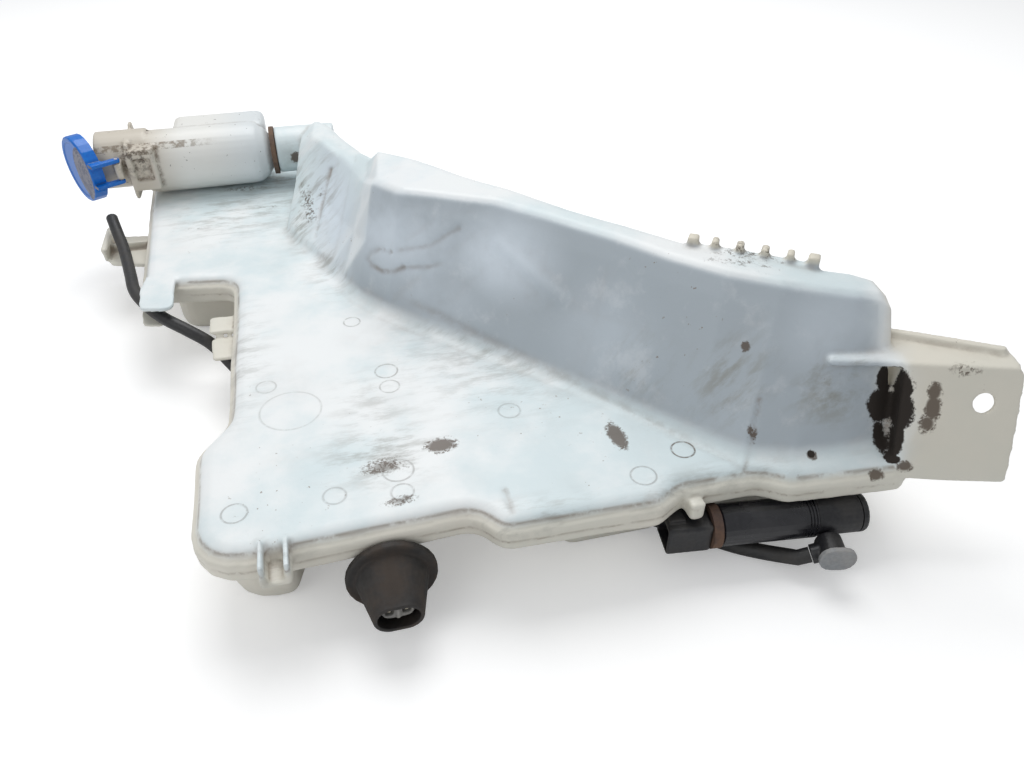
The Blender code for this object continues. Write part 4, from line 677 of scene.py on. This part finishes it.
# how far each point is from a line of straight runs
def distanceTo(trail, points):
    best = np.full(len(points), np.inf)
    for start, end in zip(trail, trail[1:]):
        start, along = np.array(start), np.array(end) - np.array(start)
        share = np.clip((points - start) @ along / (along @ along), 0.0, 1.0)
        gap = np.linalg.norm(points - start - share[:, None] * along, axis=1)
        best = np.minimum(best, gap)
    return best


def insideOf(boxes, points):
    held = np.zeros(len(points), bool)
    for low, high in boxes:
        held |= ((points > low) & (points < high)).all(1)
    return held


def dressed(made, node, paint, body):
    made.data.shade_smooth()
    made.data.materials.append(paints[paint])
    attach(made, body)
    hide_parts(node)


# the tank's blown shell, soft all over, with thin details that stay crisp
shell = {
    "voxel": 0.0013,
    "rounds": 7,
    "softness": 0.5,
    "thinRounds": 2,
    "thinSoftness": 0.4,
    "most": 190000,
    # bores to close inside: centre, turn and radius
    "plugs": [
        ((-0.068, 0.297, 0.088), (0.0, math.pi / 2, 0.0), 0.0180),
        ((-0.055, -0.1085, 0.0262), (math.pi / 2, 0.0, 0.0), 0.0128),
        ((0.19725, -0.1394, 0.0265), (math.pi / 2, 0.0, 0.0), 0.0100),
    ],
    "plugDepth": 0.0028,
    # rack and bracket: lowest and highest corners
    "crispTop": [
        ((0.130, -0.2, 0.1420), (0.240, 0.0, 0.150)),
        ((0.226, -0.21, 0.0), (0.30, 0.0, 0.150)),
    ],
    # clips and the front lug
    "crispSide": [
        ((-0.25, 0.05, 0.0), (-0.168, 0.26, 0.058)),
        ((-0.175, 0.06, 0.0), (-0.135, 0.115, 0.062)),
    ],
    "crispLug": [((-0.18, -0.2, 0.0), (-0.12, -0.150, 0.0585))],
    # folds pressed into the wall: points, half width, depth and how dark the painted shade along them is
    "folds": [
        (
            [
                (-0.0375, 0.0760, 0.0890),
                (-0.0345, 0.0745, 0.0945),
                (-0.0280, 0.0690, 0.0985),
                (-0.0205, 0.0600, 0.1005),
            ],
            (0.0020, 0.0010, 0.40),
        ),
        (
            [
                (-0.0375, 0.0760, 0.0890),
                (-0.0350, 0.0715, 0.0860),
                (-0.0280, 0.0625, 0.0855),
                (-0.0200, 0.0545, 0.0885),
                (-0.0150, 0.0500, 0.0930),
            ],
            (0.0020, 0.0010, 0.55),
        ),
        (
            [(-0.0205, 0.0600, 0.1005), (0.004, 0.043, 0.111), (0.022, 0.037, 0.124)],
            (0.0024, 0.0010, 0.12),
        ),
        (
            [(-0.0150, 0.0500, 0.0930), (0.002, 0.038, 0.098), (0.020, 0.020, 0.112)],
            (0.0024, 0.0010, 0.08),
        ),
        (
            [(0.045, 0.017, 0.120), (0.059, -0.005, 0.110), (0.073, -0.027, 0.101)],
            (0.0050, -0.0010, 0.0),
        ),
        (
            [(-0.051, 0.207, 0.102), (-0.062, 0.185, 0.085), (-0.071, 0.158, 0.070)],
            (0.0022, 0.0014, 0.7),
        ),
        (
            [(-0.080, 0.262, 0.070), (-0.078, 0.225, 0.072), (-0.076, 0.190, 0.068)],
            (0.0020, 0.0010, 0.6),
        ),
        (
            [(0.156, -0.132, 0.087), (0.150, -0.142, 0.071), (0.141, -0.155, 0.058)],
            (0.0014, 0.0004, 0.8),
        ),
        ([(0.010, -0.139, 0.060), (0.010, -0.155, 0.060)], (0.0018, 0.0006, 0.4)),
        (
            [
                (-0.071, 0.138, 0.063),
                (-0.007, 0.033, 0.072),
                (0.066, -0.055, 0.064),
                (0.141, -0.155, 0.058),
            ],
            (0.0030, 0.0004, 0.25),
        ),
    ],
    # seams round the plate's rim: height and half width
    "seams": [(0.0566, 0.0007), (0.0470, 0.0006)],
    "seamDark": 0.85,
    # the bead between the seams, and the slow waves of a blown wall
    "bead": {"height": 0.0515, "half": 0.0028, "proud": 0.0007},
    "waves": {"scale": 22.0, "depth": 0.0007},
    "bracketFrom": 0.224,
    "creaseDepth": 0.00075,
}


def closeBores(made):
    for place, turn, radius in shell["plugs"]:
        deselect()
        bpy.ops.mesh.primitive_cylinder_add(
            vertices=32, radius=radius, depth=shell["plugDepth"], location=place, rotation=turn
        )
        bpy.context.object.select_set(True)
        made.select_set(True)
        bpy.context.view_layer.objects.active = made
        bpy.ops.object.join()


def softenShell(made):
    applied(made, "REMESH", mode="VOXEL", voxel_size=shell["voxel"], use_smooth_shade=True)
    points, _, _ = shapeOf(made.data)
    crisp = insideOf(shell["crispTop"] + shell["crispSide"] + shell["crispLug"], points)
    groups = (
        ("broad", ~crisp, shell["softness"], shell["rounds"]),
        ("thin", crisp, shell["thinSoftness"], shell["thinRounds"]),
    )
    for name, chosen, _, _ in groups:
        group = made.vertex_groups.new(name=name)
        group.add(np.nonzero(chosen)[0].tolist(), 1.0, "REPLACE")
    for name, _, softness, rounds in groups:
        applied(made, "SMOOTH", factor=softness, iterations=rounds, vertex_group=name)


# folds, the rim's bead and waves are in the shape itself
def pressShell(made):
    mesh = made.data
    points, normals, edges = shapeOf(mesh)
    press = np.zeros(len(points))
    for trail, (width, depth, _) in shell["folds"]:
        press -= depth * np.exp(-((distanceTo(trail, points) / width) ** 2))
    bead, waves = shell["bead"], shell["waves"]
    sides = (np.abs(normals[:, 2]) < 0.6) & (points[:, 0] < shell["bracketFrom"])
    offBead = (points[:, 2] - bead["height"]) / bead["half"]
    press += sides * bead["proud"] * np.exp(-(offBead**4))
    press = relaxed(press, edges, 1)[:, 0]
    wave = np.array([noise.noise(Vector(point) * waves["scale"]) for point in points])
    press += wave * waves["depth"] * faded(points[:, 2], 0.004, 0.014)
    moved = points + normals * press[:, None]
    mesh.vertices.foreach_set("co", moved.astype(np.float32).ravel())
    mesh.update()
    triangles = 2 * len(mesh.vertices)
    if triangles > shell["most"]:
        applied(made, "DECIMATE", ratio=shell["most"] / triangles)


# values on the points that the tank's paint reads
def markShell(mesh):
    points, normals, edges = shapeOf(mesh)
    x, z, up = points[:, 0], points[:, 2], normals[:, 2]
    # how deep each point lies in a hollow; the paint darkens hollows with dirt and painted shade
    crease = hollowAt(points, normals, edges, 10) / shell["creaseDepth"]
    crease[up < -0.3] *= 0.3
    # the raised wall's front, which the paint darkens with painted shade
    wall = faded(z, 0.0615, 0.0675) * faded(up, 0.93, 0.83)
    wall *= faded(x, -0.075, -0.045) * faded(x, 0.225, 0.215)
    front = np.clip(-normals[:, 1] * 2.5, 0.0, 1.0)
    # the yellowed rim, bracket and rack
    aged = faded(z, 0.0575, 0.0545) * 0.75
    aged = np.maximum(aged, faded(x, 0.226, 0.232) * faded(z, 0.050, 0.054) * 0.8)
    aged[(z > 0.1425) & (x > 0.13)] = 0.95
    line = np.zeros(len(points))
    # painted shade along the folds
    for trail, (width, _, dark) in shell["folds"]:
        line = np.maximum(line, dark * np.exp(-((distanceTo(trail, points) / width) ** 2)))
    rim = (np.abs(up) < 0.92) & (x < shell["bracketFrom"]) & ~insideOf(shell["crispSide"], points)
    for height, width in shell["seams"]:
        seam = np.exp(-(((z - height) / width) ** 2))
        line = np.maximum(line, rim * shell["seamDark"] * seam)
    store(mesh, "line", line)
    store(mesh, "crease", crease)
    store(mesh, "wallShade", relaxed(wall * front, edges, 4)[:, 0])
    store(mesh, "aged", relaxed(aged, edges, 3)[:, 0])


def buildShell():
    made = mergedCopy("tank", "tankShell")
    closeBores(made)
    softenShell(made)
    pressShell(made)
    markShell(made.data)
    dressed(made, "tank", "tank", "tank_body")
    print("tank shell made:", len(made.data.vertices), "points")


buildShell()

# other mouldings with soft edges: node, name, paint, voxel, smoothing rounds, slot and body
mouldings = [
    ("filler_pipe", "fillerPipeMoulding", "pipe", 0.0012, 3, "pipe_moulding", "tank_body"),
    ("filler_cap", "fillerCapMoulding", "cap", 0.00045, 3, "cap_plastic", "cap"),
    ("sensor_boot", "sensorBootMoulding", "boot", 0.0006, 2, "boot_rubber", "tank_body"),
    ("pump_connector", "connectorMoulding", "black", 0.0005, 2, "black_plastic", "tank_body"),
    ("pump_head", "pumpHeadMoulding", "black", 0.0005, 3, "black_plastic", "tank_body"),
    ("hose_elbow", "hoseElbowMoulding", "black", 0.0005, 3, "black_plastic", "tank_body"),
    ("elbow_cap", "elbowCapMoulding", "greyCap", 0.0004, 3, "grey_plastic", "tank_body"),
    ("sensor_body", "sensorBodyMoulding", "sensor", 0.0006, 2, "sensor_plastic", "tank_body"),
]


# the cap's round face, and how far from its axis each point is
def markCap(mesh):
    points, normals, _ = shapeOf(mesh)
    facing = np.array(capLook["facing"])
    offset = points - np.array(capLook["centre"])
    sideways = np.linalg.norm(offset - (offset @ facing)[:, None] * facing, axis=1)
    store(mesh, "face", faded(normals @ facing, 0.75, 0.85))
    store(mesh, "fromAxis", sideways / capLook["radius"])


for node, name, paint, voxel, rounds, slot, body in mouldings:
    made = mergedCopy(node, name)
    applied(made, "REMESH", mode="VOXEL", voxel_size=voxel, use_smooth_shade=True)
    applied(made, "SMOOTH", factor=0.5, iterations=rounds)
    # hollows, which the paints darken with dirt and painted shade, and edges, which they rub
    dip = hollowAt(*shapeOf(made.data), 8)
    store(made.data, "crease", dip / (voxel * 0.22))
    store(made.data, "edge", -dip / (voxel * 0.35))
    if paint == "cap":
        markCap(made.data)
    dressed(made, node, paint, body)
print("mouldings softened")

# CAD nodes that keep their shape, by the finish that they take
kept = {
    "pipe": ["hinge_pin"],
    "brownSeal": ["filler_pipe_seal"],
    "softRubber": ["cap_gasket", "shaft_seal", "pump_seal", "sensor_seal"],
    "terminal": ["pump_terminal_1", "pump_terminal_2", "sensor_terminal_1", "sensor_terminal_2"],
    "rust": ["pump_ring"],
    "can": ["pump_motor_case"],
    "black": ["pump_head_cover"],
    "ferrite": ["motor_magnets"],
    "bronze": ["rear_bush", "front_bush"],
    "copper": ["motor_armature"],
    "steel": ["pump_shaft", "float_pin"],
    "impeller": ["pump_impeller"],
    "strainer": ["inlet_strainer"],
    "float": ["sensor_float"],
}
for paint, names in kept.items():
    for name in names:
        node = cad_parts[name]
        if not node.material_slots:
            node.data.materials.append(paints[paint])
        for slot in node.material_slots:
            slot.material = paints[paint]
print("finishes given to the kept nodes")
